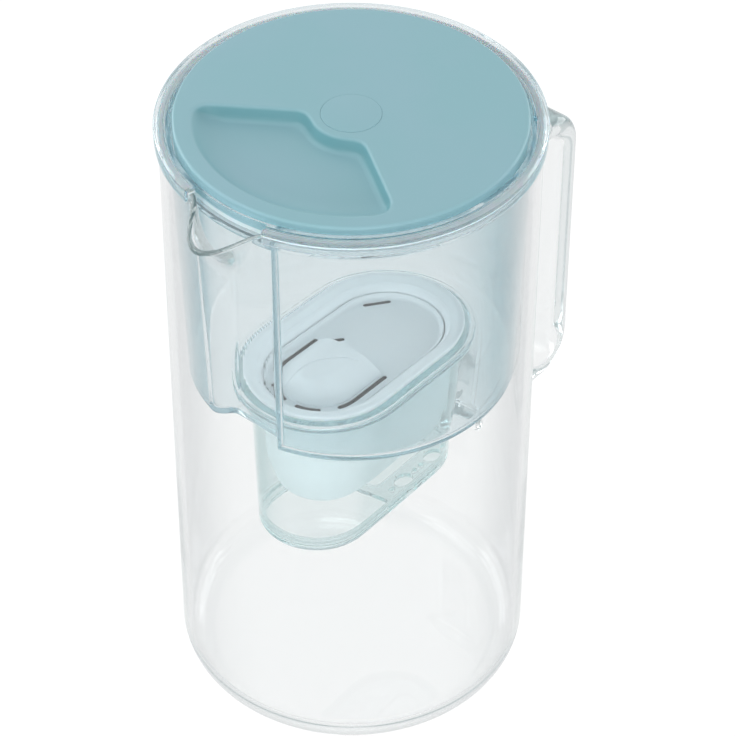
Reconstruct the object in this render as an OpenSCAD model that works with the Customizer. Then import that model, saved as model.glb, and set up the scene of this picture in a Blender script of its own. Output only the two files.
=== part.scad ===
// Glass water filter pitcher: a glass jug with a pulled spout and a strap handle,
// a lift-out hopper with a filter cartridge hanging in its well, and a flip lid
// that tilts on two short pins near the handle side.
// Millimetres, +Z up. The origin is the centre of the base. Spout at -X, handle at +X.

/* [Jug] */
// Outer radius of the glass jug
jug_r = 68; // [66:1:76]
// Height of the glass rim
jug_h = 253.4; // [240:1:280]
// Thickness of the glass wall
jug_wall = 2.6; // [2:0.1:3]
// Thickness of the glass floor
jug_floor = 5; // [3:0.5:8]
// Radius of the rounded corner at the base
jug_corner_r = 12; // [8:0.5:16]

/* [Spout] */
// How far the lip stands out from the wall
spout_reach = 13.5; // [8:0.5:18]
// How far the tip of the lip lies below the rim
spout_drop = 5.5; // [3:0.5:9]
// Half of the angle that the spout takes from the rim
spout_half_angle = 15; // [11:0.5:20]
// Height of the pulled throat under the lip
spout_throat = 26; // [18:1:40]

/* [Handle] */
// Distance from the wall of the jug to the outer face of the handle
handle_reach = 53.5; // [44:0.5:64]
// Width of the strap
handle_w = 26; // [20:0.5:32]
// Thickness of the strap
handle_t = 9; // [7:0.5:11]
// Height of the top of the upper arm
handle_top_z = 199; // [180:1:225]
// Height of the bottom of the lower arm
handle_bottom_z = 68; // [40:1:90]
// Bend radius at the middle of the strap
handle_bend_r = 13; // [9:0.5:20]
// How much thicker the strap grows where it is fused to the jug
handle_root_grow = 2; // [1:0.5:4]

/* [Hopper] */
// Gap between the hopper and the inside of the glass under the rim
hopper_gap = 1.4; // [1:0.1:3]
// Draft of the hopper wall, as the radius it loses from top to floor
hopper_draft = 3; // [1:0.5:5]
// Thickness of the hopper wall
hopper_wall = 1.6; // [1.4:0.1:2.2]
// Height of the underside of the hopper floor
hopper_floor_z = 147.5; // [140:0.5:160]
// Thickness of the hopper floor
hopper_floor_t = 2; // [1.6:0.1:3]
// Outer radius of the corner between wall and floor
hopper_corner_r = 6; // [4:0.5:8]
// Depth of the pour channel on the spout side
channel_depth = 8.5; // [5:0.5:9]
// Width of the bottom of the pour channel
channel_w = 25; // [18:1:30]
// Radius of the long edges of the pour channel
channel_edge_r = 4; // [3:0.5:6]

/* [Rim ring] */
// Outer radius that the ring adds to the glass
ring_overhang = 1.5; // [1.3:0.1:3]
// Thickness of the flange over the glass rim
flange_t = 2.1; // [1.8:0.1:3.5]
// Height of the skirt around the glass rim
skirt_h = 5.4; // [4:0.2:9]
// Thickness of the skirt
skirt_t = 1.15; // [1:0.05:1.25]
// Gap between the collar of the ring and the inside of the glass
collar_gap = 0.3; // [0.2:0.05:0.6]
// Thickness of the collar
collar_t = 1.05; // [1:0.05:1.3]
// Depth of the collar below the top of the ring
collar_h = 9.1; // [8:0.1:12]
// Width of the groove in the top of the ring
groove_w = 1.6; // [1:0.1:2]
// Depth of the groove in the top of the ring
groove_d = 0.9; // [0.4:0.1:1.2]
// Thickness of the soft gasket on the glass rim
gasket_t = 0.9; // [0.6:0.1:1.6]
// Gap between the gasket and the glass rim
seat_gap = 0.2; // [0.1:0.05:0.4]

/* [Lid] */
// Gap between the lid and the ring around it
lid_gap = 1.25; // [1.2:0.05:2]
// How far the lid stands above the ring
lid_rise = 2; // [1.6:0.1:2.6]
// Thickness of the top plate
lid_plate_t = 2.2; // [2:0.1:2.6]
// Radius of the rounded top edge
lid_edge_r = 2; // [1:0.1:2]
// Full depth of the lid from its top to the underside of its skirt
lid_skirt_h = 7.1; // [6.6:0.1:8]
// Thickness of the skirt
lid_skirt_t = 1.8; // [1.4:0.1:2.4]
// Depth of the finger scoop
scoop_depth = 5.5; // [4.2:0.1:5.6]
// Wall under the floor of the scoop
scoop_floor_t = 1.8; // [1.4:0.1:2]
// Half of the angle that the scoop spans
scoop_half_angle = 56; // [40:1:65]
// Radius of the notch around the centre cap
scoop_inner_r = 14.3; // [13:0.1:18]
// Width of the flat border between the scoop and the edge of the lid
scoop_border = 5.8; // [5:0.1:12]
// Radius of the corners of the scoop
scoop_corner_r = 4; // [2:0.5:6]
// Radius of the centre cap
cap_r = 10.8; // [8:0.1:12]
// Thickness of the centre cap
cap_t = 1.2; // [0.8:0.1:1.3]
// Thickness of the liner plate under the lid
liner_t = 1.2; // [1:0.1:1.6]
// Thickness of the soft seal under the skirt
lid_seal_t = 1.6; // [1:0.1:1.8]

/* [Hinge] */
// Distance of the tilt axis from the centre of the jug
hinge_x = 38; // [34:0.5:40]
// Depth of the tilt axis below the top of the lid
hinge_depth = 3.2; // [3.1:0.05:3.4]
// Radius of a hinge pin
pin_r = 0.9; // [0.7:0.05:1]
// Running clearance around a pin in the lid
pin_clearance = 0.06; // [0.03:0.01:0.1]
// Distance from the outer end of a pin to the ring beside it
pin_side_gap = 6.5; // [6.2:0.1:8]
// Length of a hinge pin
pin_len = 7.2; // [7:0.1:7.6]
// Width of a lug on the lid and of a post on the hopper
lug_w = 3; // [2.6:0.1:3.2]
// Gap between a lug and its post
lug_gap = 0.5; // [0.3:0.05:0.7]
// Wall around the pin in a lug or a post
eye_wall = 0.8; // [0.7:0.05:0.85]

/* [Well] */
// Gap between the rim of the cartridge and the opening in the hopper floor
well_gap = 4; // [3:0.5:5]
// Distance of the well from the centre, towards the handle
well_x = 2; // [0:0.5:3]
// Gap between the sleeve and its opening
sleeve_gap = 0.3; // [0.15:0.05:0.5]
// Thickness of the sleeve wall
sleeve_wall = 1.6; // [1.2:0.1:2]
// Width of the lip that hangs on the hopper floor
sleeve_lip_w = 3.3; // [2.5:0.1:3.5]
// Thickness of the lip
sleeve_lip_t = 1.5; // [1:0.1:2]
// Height of the lower end of the well
sleeve_bottom_z = 80; // [70:1:90]
// How much the length of the sleeve tapers to its lower end
sleeve_taper_l = 1.4; // [1:0.1:4]
// How much the width of the sleeve tapers to its lower end
sleeve_taper_w = 10.4; // [6:0.1:12]
// Width of the raised collar around the lip
well_collar_w = 1.8; // [1.2:0.1:2]
// Height of the raised collar around the lip
well_collar_h = 2; // [1.5:0.1:3]

/* [Well base] */
// Thickness of the base plate of the well
base_t = 2.2; // [1.6:0.1:3]
// Height of the spigot that holds the base in the sleeve
base_spigot_h = 3; // [2:0.5:5]
// Width of the closed rim around the holes of the base
base_rim_w = 4.5; // [3:0.5:6]
// Width of the ribs of the truss in the base
truss_rib_w = 2; // [1.4:0.1:2.6]
// Radius of the round holes of the truss
truss_hole_r = 4.3; // [3:0.1:4.6]
// Length of one cell of the truss
truss_cell = 18; // [15:0.5:22]

/* [Cartridge] */
// Length of the cartridge at its rim
cart_l = 84; // [78:0.5:85]
// Width of the cartridge at its rim
cart_w = 48; // [44:0.5:49]
// Width of the shoulder that carries the cartridge
cart_shoulder_w = 5.5; // [4:0.1:5.6]
// Thickness of the shoulder
cart_shoulder_t = 1.6; // [1.2:0.1:2.4]
// Gap under the cartridge seal
cart_seat_gap = 0.3; // [0.2:0.05:0.5]
// Thickness of the cartridge seal
cart_seal_t = 0.9; // [0.6:0.1:1.4]
// Thickness of the cartridge wall
cart_wall = 1.5; // [1.2:0.1:2]
// Height of the bottom of the cartridge
cart_bottom_z = 95; // [92:0.5:100]
// Height of the top face of the cartridge cap
cart_cap_z = 147; // [144:0.5:149]
// Thickness of the cartridge cap
cart_cap_t = 2; // [1.4:0.1:2.6]
// Height of the raised grip on the cap
grip_h = 7; // [5:0.5:9]
// Length of the grip
grip_l = 30.5; // [26:0.5:34]
// Width of the grip at its foot
grip_w = 33; // [28:0.5:34]
// Width of the inlet slits in the cap
slit_w = 1.6; // [1:0.1:2]
// Thickness of the two fine screens
screen_t = 0.8; // [0.5:0.1:1.2]

/* [Hidden] */
fine = 96;
coarse = 48;
slack = 1;

// Colours
glass_colour = [0.9, 0.95, 0.96, 0.3];
aqua_clear = [0.72, 0.86, 0.9, 0.45];
sleeve_clear = [0.74, 0.87, 0.86, 0.5];
lid_colour = [0.57, 0.73, 0.77];
seal_colour = [0.82, 0.88, 0.9];
cartridge_colour = [0.77, 0.85, 0.89];
screen_colour = [0.88, 0.9, 0.92];
media_colour = [0.2, 0.2, 0.21];
pin_colour = [0.75, 0.76, 0.78];

// Radii and heights of the stack from the glass to the lid
jug_in_r = jug_r - jug_wall;
gasket_z = jug_h + seat_gap;
flange_z = gasket_z + gasket_t;
ring_top = flange_z + flange_t;
ring_r = jug_r + ring_overhang;
skirt_in_r = ring_r - skirt_t;
collar_r = jug_in_r - collar_gap;
collar_in_r = collar_r - collar_t;
collar_z = ring_top - collar_h;
groove_mid_r = (collar_in_r + ring_r) / 2;
hopper_top_r = jug_in_r - hopper_gap;
hopper_bottom_r = hopper_top_r - hopper_draft;
hopper_floor_top = hopper_floor_z + hopper_floor_t;
shoulder_h = 2.5;
shoulder_z = collar_z - shoulder_h;
ledge_drop = 7.1;
ledge_top = ring_top - ledge_drop;
ledge_t = 1.5;
ledge_w = 3;
lid_r = collar_in_r - lid_gap;
lid_top = ring_top + lid_rise;
lid_under = lid_top - lid_plate_t;
lid_skirt_z = lid_top - lid_skirt_h;
lid_in_r = lid_r - lid_skirt_t;
scoop_under = lid_top - scoop_depth - scoop_floor_t;
liner_setback = 12;
liner_edge_x = hinge_x - liner_setback;
skirt_setback = 8;
skirt_edge_x = hinge_x - skirt_setback;
scoop_outer_r = lid_r - scoop_border;
hinge_z = lid_top - hinge_depth;
eye_r = pin_r + eye_wall;
pin_inner_y = sqrt(collar_in_r * collar_in_r - hinge_x * hinge_x) - pin_side_gap - pin_len;
pin_stub = 0.4;
lug_y = pin_inner_y + pin_stub;
post_y = lug_y + lug_w + lug_gap;
spout_gap_angle = spout_half_angle - 0.5;
throat_z = jug_h - spout_throat;
spout_rows = 10;
spout_columns = 16;
spout_overlap = 1.4;
spout_tuck = 0.15;
spout_joint = 0.2;

// The sizes of the well and of the cartridge that hangs in it
well_l = cart_l + 2 * well_gap;
well_w = cart_w + 2 * well_gap;
sleeve_l = well_l - 2 * sleeve_gap;
sleeve_w = well_w - 2 * sleeve_gap;
sleeve_bottom_l = sleeve_l - sleeve_taper_l;
sleeve_bottom_w = sleeve_w - sleeve_taper_w;
lip_l = well_l + 2 * sleeve_lip_w;
lip_w = well_w + 2 * sleeve_lip_w;
lip_top = hopper_floor_top + sleeve_lip_t;
base_top = sleeve_bottom_z + base_t;
cart_seal_z = lip_top + cart_seat_gap;
shoulder_bottom = cart_seal_z + cart_seal_t;
cart_rim_z = shoulder_bottom + cart_shoulder_t;
cart_in_l = cart_l - 2 * cart_wall;
cart_in_w = cart_w - 2 * cart_wall;
upper_screen_z = cart_cap_z - cart_cap_t - screen_t;
inner_ledge_w = 2.4;
inner_ledge_t = 1.4;
cart_waist_h = 17;
cart_waist_z = cart_bottom_z + cart_waist_h;
cart_taper_l = 5;
cart_taper_w = 7;
cart_toe_h = 4;
cart_toe_l = 13;
cart_toe_w = 16;
cart_sole_l = 28;
cart_sole_w = 30;
cap_side_gap = 0.3;
slit_rim = 0.9;
slit_gap = 1;
screen_rib_h = 5;
lower_screen_z = cart_bottom_z + screen_rib_h;
lower_screen_gap = 3;
lower_screen_l = cart_in_l - cart_toe_l - 2 * lower_screen_gap;
lower_screen_w = cart_in_w - cart_toe_w - 2 * lower_screen_gap;

// How far down the taper of the cartridge wall a height lies, from 0 at the rim to 1
function taper_at(z) = (cart_rim_z - z) / (cart_rim_z - cart_waist_z);

// Length and width of the inside of the cartridge at a height above its waist
function cup_in_l(z) = cart_in_l - cart_taper_l * taper_at(z);
function cup_in_w(z) = cart_in_w - cart_taper_w * taper_at(z);

// The grip starts behind the slit that runs around it near the edge of the cap
cap_plate_z = cart_cap_z - cart_cap_t;
grip_start_x = well_x - cup_in_l(cap_plate_z) / 2 + cap_side_gap + slit_rim + slit_w + slit_gap;
grip_end_x = grip_start_x + grip_l;

// A stadium: a slot shape of length l and width w along X
module stadium(l, w) {
    square([l - w, w], center = true);
    for (side = [-1, 1])
        translate([side * (l - w) / 2, 0]) circle(d = w, $fn = coarse);
}

// A straight upright solid of stadium section, at the place of the well
module stadium_solid(l, w, z, h) {
    translate([well_x, 0, z]) linear_extrude(h) stadium(l, w);
}

// A ring of stadium section
module stadium_ring(l, w, inner_l, inner_w, z, h) {
    translate([well_x, 0, z]) linear_extrude(h) difference() {
        stadium(l, w);
        stadium(inner_l, inner_w);
    }
}

// A sector of the plan around the spout, as an endless wedge
module spout_wedge(half_angle, z, h) {
    far = 2 * jug_r;
    translate([0, 0, z]) linear_extrude(h)
        polygon([[0, 0], [-far, -far * tan(half_angle)], [-far, far * tan(half_angle)]]);
}

// Points of a rounded corner from angle a0 to a1 about a centre
function arc_points(cx, cz, r, a0, a1, steps) =
    [for (i = [0:steps]) let(a = a0 + (a1 - a0) * i / steps) [cx + r * cos(a), cz + r * sin(a)]];

// How strongly the glass is pulled out at an angle from the middle of the spout
function pull(a) = (1 + cos(180 * a / spout_half_angle)) / 2;

// The closed section of the pulled glass at an angle: up the outside, over the round lip
// and down the inside. Its two lowest rows, and the whole of a tucked section, are the
// slightly thinner tongue that reaches into the plain wall
function spout_section(a, tucked) =
    let(p = tucked ? 0 : pull(a),
        top = jug_h - spout_drop * p - jug_wall / 2,
        foot = throat_z + 2 * spout_joint,
        rows = [for (j = [0:spout_rows])
            let(v = max(0, j - 2) / (spout_rows - 2),
                z = j == 0 ? throat_z - spout_overlap
                    : j == 1 ? throat_z + spout_joint : foot + v * (top - foot))
            [jug_r + spout_reach * p * pow(v, 2.4), z, j < 2 || tucked ? spout_tuck : 0]],
        lip = arc_points(jug_r + spout_reach * p - jug_wall / 2, top,
            jug_wall / 2 - (tucked ? spout_tuck : 0), 22.5, 157.5, 6),
        outline = concat([for (q = rows) [q[0] - q[2], q[1]]], lip,
            [for (j = [spout_rows:-1:0]) let(q = rows[j]) [q[0] - jug_wall + q[2], q[1]]]))
    [for (q = outline) [-q[0] * cos(a), -q[0] * sin(a), q[1]]];

// The pulled glass of the spout, lofted through its sections
module spout_shell() {
    degrees = 180 / PI / jug_r;
    edge = spout_half_angle + spout_overlap * degrees;
    step = spout_joint * degrees;
    full = spout_half_angle - 2 * step;
    angles = concat([-edge, step - spout_half_angle],
        [for (i = [0:spout_columns]) full * (2 * i / spout_columns - 1)],
        [spout_half_angle - step, edge]);
    last = len(angles) - 1;
    sections = [for (i = [0:last]) spout_section(angles[i], i < 2 || i > last - 2)];
    n = len(sections[0]);
    walls = [for (c = [0:last - 1]) for (k = [0:n - 1]) let(p = c * n + k, q = c * n + (k + 1) % n)
        each [[p, q, q + n], [p, q + n, p + n]]];
    caps = [[for (k = [n - 1:-1:0]) k], [for (k = [0:n - 1]) last * n + k]];
    polyhedron([for (s = sections) each s], concat(walls, caps), convexity = 6);
}

// The glass jug: a straight blown cylinder with a pulled spout
module glass_jug() {
    inner_corner = jug_corner_r - jug_wall;
    outer_side = concat([[0, 0]],
        arc_points(jug_r - jug_corner_r, jug_corner_r, jug_corner_r, -90, 0, 8));
    rim = arc_points(jug_r - jug_wall / 2, jug_h - jug_wall / 2, jug_wall / 2, 0, 180, 8);
    inner_side = concat(
        arc_points(jug_in_r - inner_corner, jug_floor + inner_corner, inner_corner, 0, -90, 8),
        [[0, jug_floor]]);
    color(glass_colour) union() {
        difference() {
            rotate_extrude($fn = fine) polygon(concat(outer_side, rim, inner_side));
            difference() {
                spout_wedge(spout_half_angle, throat_z, spout_throat + slack);
                cylinder(r = jug_in_r - jug_wall, h = jug_h + slack, $fn = fine);
            }
        }
        spout_shell();
    }
}

// The rounded section of the strap, lying across Y
module strap_section(w, t) {
    square([t, w - t], center = true);
    for (side = [-1, 1])
        translate([0, side * (w - t) / 2]) circle(d = t, $fn = coarse);
}

// The handle: a glass strap bent twice and fused to the wall
module glass_handle() {
    bar_x = jug_r + handle_reach - handle_t / 2;
    top_z = handle_top_z - handle_t / 2;
    low_z = handle_bottom_z + handle_t / 2;
    arm_len = bar_x - handle_bend_r;
    root_w = handle_w + handle_root_grow;
    root_t = handle_t + handle_root_grow;
    root_len = jug_r + 3;
    color(glass_colour) difference() {
        union() {
            translate([bar_x, 0, low_z + handle_bend_r])
                linear_extrude(top_z - low_z - 2 * handle_bend_r) strap_section(handle_w, handle_t);
            for (end = [[top_z, 0], [low_z, 1]]) translate([0, 0, end[0]]) mirror([0, 0, end[1]]) {
                rotate([0, 90, 0]) linear_extrude(arm_len) strap_section(handle_w, handle_t);
                rotate([0, 90, 0]) linear_extrude(root_len) strap_section(root_w, root_t);
                translate([arm_len, 0, -handle_bend_r]) rotate([90, 0, 0])
                    rotate_extrude(angle = 90, $fn = fine)
                        translate([handle_bend_r, 0]) strap_section(handle_w, handle_t);
            }
        }
        translate([0, 0, -slack]) cylinder(r = jug_r, h = jug_h, $fn = fine);
    }
}

// The plan of the pour channel, grown by the wall for its inner side
module channel_plan(grow) {
    inner_x = hopper_bottom_r - channel_depth;
    hull() {
        for (side = [-1, 1]) {
            translate([-inner_x - channel_edge_r, side * (channel_w / 2 - channel_edge_r)])
                circle(r = channel_edge_r + grow, $fn = 32);
            translate([-jug_r, side * (channel_w / 2 + channel_edge_r)])
                circle(r = channel_edge_r + grow, $fn = 32);
        }
    }
}

// The outside of the hopper as a solid of revolution
module hopper_outside() {
    groove_in = groove_mid_r - groove_w / 2;
    groove_out = groove_mid_r + groove_w / 2;
    edge_r = 0.8;
    rotate_extrude($fn = fine) polygon(concat(
        [[0, hopper_floor_z]],
        arc_points(hopper_bottom_r - hopper_corner_r, hopper_floor_z + hopper_corner_r,
            hopper_corner_r, -90, 0, 6),
        [[hopper_top_r, shoulder_z], [collar_r, collar_z], [collar_r, flange_z],
            [skirt_in_r, flange_z], [skirt_in_r, ring_top - skirt_h],
            [ring_r, ring_top - skirt_h]],
        arc_points(ring_r - edge_r, ring_top - edge_r, edge_r, 0, 90, 4),
        [[groove_out, ring_top], [groove_out, ring_top - groove_d],
            [groove_in, ring_top - groove_d], [groove_in, ring_top], [0, ring_top]]));
}

// The hollow of the hopper
module hopper_cavity() {
    inner_corner = hopper_corner_r - hopper_wall;
    floor_r = hopper_bottom_r - hopper_wall;
    rotate_extrude($fn = fine) polygon(concat(
        [[0, hopper_floor_top]],
        arc_points(floor_r - inner_corner, hopper_floor_top + inner_corner, inner_corner, -90, 0, 6),
        [[hopper_top_r - hopper_wall, shoulder_z], [collar_in_r, collar_z + hopper_wall],
            [collar_in_r, ring_top + slack], [0, ring_top + slack]]));
}

// The two posts that carry the hinge pins, each tied to the wall by a web
module hinge_posts() {
    foot_x = hinge_x - 5;
    foot_z = hinge_z - 11;
    web_t = 4;
    web_h = 8;
    for (side = [-1, 1]) scale([1, side, 1]) difference() {
        union() {
            translate([0, post_y + lug_w, 0]) rotate([90, 0, 0]) linear_extrude(lug_w) hull() {
                translate([hinge_x, hinge_z]) circle(r = eye_r, $fn = 32);
                translate([foot_x, foot_z]) circle(r = web_t / 2, $fn = 32);
            }
            intersection() {
                translate([foot_x - web_t / 2, post_y, foot_z - web_h])
                    cube([web_t, jug_r, web_h]);
                cylinder(r = hopper_top_r - hopper_wall / 2, h = jug_h, $fn = fine);
            }
        }
        translate([hinge_x, post_y - slack, hinge_z]) rotate([-90, 0, 0])
            cylinder(r = pin_r, h = lug_w + 2 * slack, $fn = 32);
    }
}

// The two reliefs in the ring that the edge of the lid dips into when it stands open
module lid_reliefs() {
    relief_w = 1.3;
    relief_h = 2.2;
    near_angle = acos((hinge_x + hinge_depth + slack) / collar_in_r);
    far_angle = acos((hinge_x - slack / 2) / collar_in_r);
    for (side = [0, 1]) mirror([0, side, 0])
        translate([0, 0, ring_top - relief_h]) rotate([0, 0, near_angle])
            rotate_extrude(angle = far_angle - near_angle, $fn = fine)
                translate([collar_in_r - slack, 0]) square([slack + relief_w, relief_h + slack]);
}

// The hopper: a clear funnel with a rim ring, a pour channel and an oval well opening
module hopper() {
    channel_top = shoulder_z + shoulder_h / 2;
    wall_low = hopper_floor_z - slack;
    color(aqua_clear) union() {
        difference() {
            hopper_outside();
            difference() {
                hopper_cavity();
                translate([0, 0, wall_low])
                    linear_extrude(channel_top + hopper_wall - wall_low) channel_plan(hopper_wall);
            }
            translate([0, 0, wall_low]) linear_extrude(channel_top - wall_low) channel_plan(0);
            stadium_solid(well_l, well_w, wall_low, hopper_floor_t + 2 * slack);
            lid_reliefs();
            difference() {
                spout_wedge(spout_gap_angle, ring_top - skirt_h - slack, skirt_h + 2 * slack);
                cylinder(r = collar_r, h = ring_top + slack, $fn = fine);
            }
        }
        stadium_ring(lip_l + 2 * sleeve_gap + 2 * well_collar_w, lip_w + 2 * sleeve_gap + 2 * well_collar_w,
            lip_l + 2 * sleeve_gap, lip_w + 2 * sleeve_gap, hopper_floor_top, well_collar_h);
        translate([0, 0, ledge_top - ledge_t]) rotate([0, 0, 75]) rotate_extrude(angle = 210, $fn = fine)
            translate([collar_in_r - ledge_w, 0]) square([ledge_w + collar_t / 2, ledge_t]);
        hinge_posts();
    }
}

// The soft gasket between the flange and the glass rim
module rim_gasket() {
    color(seal_colour) difference() {
        translate([0, 0, gasket_z]) difference() {
            cylinder(r = jug_r, h = gasket_t, $fn = fine);
            translate([0, 0, -slack]) cylinder(r = jug_in_r, h = gasket_t + 2 * slack, $fn = fine);
        }
        spout_wedge(spout_gap_angle, gasket_z - slack, gasket_t + 2 * slack);
    }
}

// Two short steel pins on the tilt axis of the lid
module hinge_pins() {
    color(pin_colour) for (side = [-1, 1])
        translate([hinge_x, side * (pin_inner_y + pin_len / 2), hinge_z]) rotate([90, 0, 0])
            cylinder(r = pin_r, h = pin_len, center = true, $fn = 32);
}

// The clear sleeve that hangs in the well opening and tapers downwards
module well_sleeve() {
    skin = 0.01;
    color(sleeve_clear) difference() {
        union() {
            hull() {
                stadium_solid(sleeve_l, sleeve_w, hopper_floor_top - skin, skin);
                stadium_solid(sleeve_bottom_l, sleeve_bottom_w, base_top, skin);
            }
            stadium_solid(lip_l, lip_w, hopper_floor_top, sleeve_lip_t);
        }
        hull() {
            stadium_solid(sleeve_l - 2 * sleeve_wall, sleeve_w - 2 * sleeve_wall, lip_top, slack);
            stadium_solid(sleeve_bottom_l - 2 * sleeve_wall, sleeve_bottom_w - 2 * sleeve_wall,
                base_top - slack, slack);
        }
    }
}

// One cell of the truss: a round hole where two crossed ribs meet
module truss_cell_holes(cell_w) {
    difference() {
        square([truss_cell - truss_rib_w, cell_w], center = true);
        for (tilt = [-1, 1]) rotate(tilt * atan(cell_w / truss_cell))
            square([2 * truss_cell, truss_rib_w], center = true);
        circle(r = truss_hole_r + truss_rib_w, $fn = coarse);
    }
    circle(r = truss_hole_r, $fn = coarse);
}

// The openings of the well base: a wide window and a truss on the handle half
module base_openings() {
    hole_l = sleeve_bottom_l - 2 * base_rim_w;
    hole_w = sleeve_bottom_w - 2 * base_rim_w;
    rib_half = truss_rib_w;
    middle_w = 10;
    cell_w = (hole_w - middle_w) / 2 - truss_rib_w;
    intersection() {
        stadium(hole_l, hole_w);
        union() {
            translate([-hole_l / 2, -hole_w / 2]) square([hole_l / 2 - rib_half, hole_w]);
            translate([rib_half, -middle_w / 2]) square([hole_l / 2 - truss_cell / 2, middle_w]);
            for (side = [-1, 1]) for (cell = [0, 1])
                translate([rib_half + truss_cell * (cell + 0.5),
                    side * (middle_w / 2 + truss_rib_w + cell_w / 2)]) truss_cell_holes(cell_w);
        }
    }
}

// The base of the well: a rim with a truss, held in the sleeve by a spigot
module well_base() {
    fit = 0.15;
    inner_l = sleeve_bottom_l - 2 * sleeve_wall - 2 * fit;
    inner_w = sleeve_bottom_w - 2 * sleeve_wall - 2 * fit;
    color(sleeve_clear) union() {
        translate([well_x, 0, sleeve_bottom_z]) linear_extrude(base_t) difference() {
            stadium(sleeve_bottom_l, sleeve_bottom_w);
            base_openings();
        }
        stadium_ring(inner_l, inner_w, inner_l - 2 * sleeve_wall, inner_w - 2 * sleeve_wall,
            base_top - slack / 2, base_spigot_h + slack / 2);
    }
}

// The plan of the finger scoop, a fan around the centre cap
module scoop_plan() {
    far = 2 * scoop_outer_r;
    offset(r = scoop_corner_r, $fn = 32) offset(delta = -scoop_corner_r) difference() {
        intersection() {
            circle(r = scoop_outer_r, $fn = fine);
            polygon([[0, 0], [-far * cos(scoop_half_angle), -far * sin(scoop_half_angle)],
                [-far, 0], [-far * cos(scoop_half_angle), far * sin(scoop_half_angle)]]);
        }
        circle(r = scoop_inner_r, $fn = fine);
    }
}

// Height of the scoop's floor above its lowest level at a radius
function scoop_ramp(r) =
    let(start = 0.55 * scoop_outer_r,
        t = max(0, (r - start) / (scoop_outer_r - start)))
    scoop_depth * (3 * t * t - 2 * t * t * t);

// The space above the scoop's floor, lowered by a depth for the underside
module scoop_bowl(drop) {
    steps = 10;
    rotate_extrude($fn = fine) polygon(concat(
        [[0, lid_top + slack], [0, lid_top - scoop_depth - drop]],
        [for (i = [0:steps]) let(r = scoop_outer_r * (0.55 + 0.45 * i / steps))
            [r, lid_top - scoop_depth - drop + scoop_ramp(r)]],
        [[scoop_outer_r, lid_top + slack]]));
}

// The solid block under the scoop that carries its floor and walls
module scoop_block() {
    intersection() {
        translate([0, 0, scoop_under]) linear_extrude(lid_under - scoop_under + slack / 2)
            offset(delta = scoop_floor_t) scoop_plan();
        cylinder(r = lid_in_r + slack / 2, h = lid_top, $fn = fine);
    }
}

// The lid: a disc with a rounded edge, a finger scoop and two hinge lugs
module lid_shell() {
    pocket_l = 6;
    pocket_d = 1.1;
    rib_count = 6;
    rib_t = 1.4;
    color(lid_colour) difference() {
        union() {
            rotate_extrude($fn = fine) polygon(concat([[0, lid_under], [lid_r, lid_under]],
                arc_points(lid_r - lid_edge_r, lid_top - lid_edge_r, lid_edge_r, 0, 90, 6),
                [[0, lid_top]]));
            intersection() {
                translate([0, 0, lid_skirt_z]) difference() {
                    cylinder(r = lid_r, h = lid_skirt_h - lid_plate_t / 2, $fn = fine);
                    translate([0, 0, -slack])
                        cylinder(r = lid_in_r, h = lid_skirt_h + 2 * slack, $fn = fine);
                }
                translate([-jug_r, -jug_r, 0]) cube([jug_r + skirt_edge_x, 2 * jug_r, lid_top]);
            }
            scoop_block();
            intersection() {
                union() {
                    for (i = [0:rib_count - 1]) rotate([0, 0, 180 * i / (rib_count - 1) - 90])
                        translate([0, -rib_t / 2, scoop_under])
                            cube([lid_in_r + slack / 2, rib_t, lid_under - scoop_under + slack / 2]);
                }
                translate([0, -jug_r, 0]) cube([liner_edge_x - slack, 2 * jug_r, lid_top]);
            }
            for (side = [-1, 1]) translate([hinge_x, side * (lug_y + lug_w / 2), hinge_z]) {
                rotate([90, 0, 0]) cylinder(r = eye_r + 0.4, h = lug_w, center = true, $fn = 32);
                translate([-eye_r, -lug_w / 2, 0])
                    cube([2 * eye_r, lug_w, hinge_depth - lid_plate_t / 2]);
            }
        }
        intersection() {
            scoop_bowl(0);
            translate([0, 0, scoop_under]) linear_extrude(lid_top) scoop_plan();
        }
        translate([0, 0, lid_top - cap_t]) cylinder(r = cap_r, h = cap_t + slack, $fn = fine);
        for (side = [-1, 1]) {
            translate([hinge_x - pocket_l / 2, side * (post_y + lug_w / 2) - lug_w / 2 - lug_gap,
                lid_under - slack]) cube([pocket_l, lug_w + 2 * lug_gap, pocket_d + slack]);
            translate([hinge_x, side * (lug_y + lug_w / 2), hinge_z]) rotate([90, 0, 0])
                cylinder(r = pin_r + pin_clearance, h = lug_w + slack / 2, center = true, $fn = 32);
        }
    }
}

// The bare round cap in the middle of the lid
module lid_cap() {
    proud = 0.2;
    edge = 0.3;
    color(lid_colour) translate([0, 0, lid_top - cap_t]) rotate_extrude($fn = fine)
        polygon([[0, 0], [cap_r, 0], [cap_r, cap_t + proud - edge],
            [cap_r - edge, cap_t + proud], [0, cap_t + proud]]);
}

// The liner plate that closes the front of the lid from below
module lid_liner() {
    fit = 0.1;
    color(seal_colour) difference() {
        translate([0, 0, scoop_under - liner_t]) cylinder(r = lid_in_r - fit, h = liner_t, $fn = fine);
        translate([liner_edge_x, -jug_r, 0]) cube([jug_r, 2 * jug_r, lid_top]);
    }
}

// The soft seal under the skirt of the lid
module lid_seal() {
    color(seal_colour) difference() {
        translate([0, 0, lid_skirt_z - lid_seal_t]) difference() {
            cylinder(r = lid_r, h = lid_seal_t, $fn = fine);
            translate([0, 0, -slack]) cylinder(r = lid_in_r, h = lid_seal_t + 2 * slack, $fn = fine);
        }
        translate([liner_edge_x, -jug_r, 0]) cube([jug_r, 2 * jug_r, lid_top]);
    }
}

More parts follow.
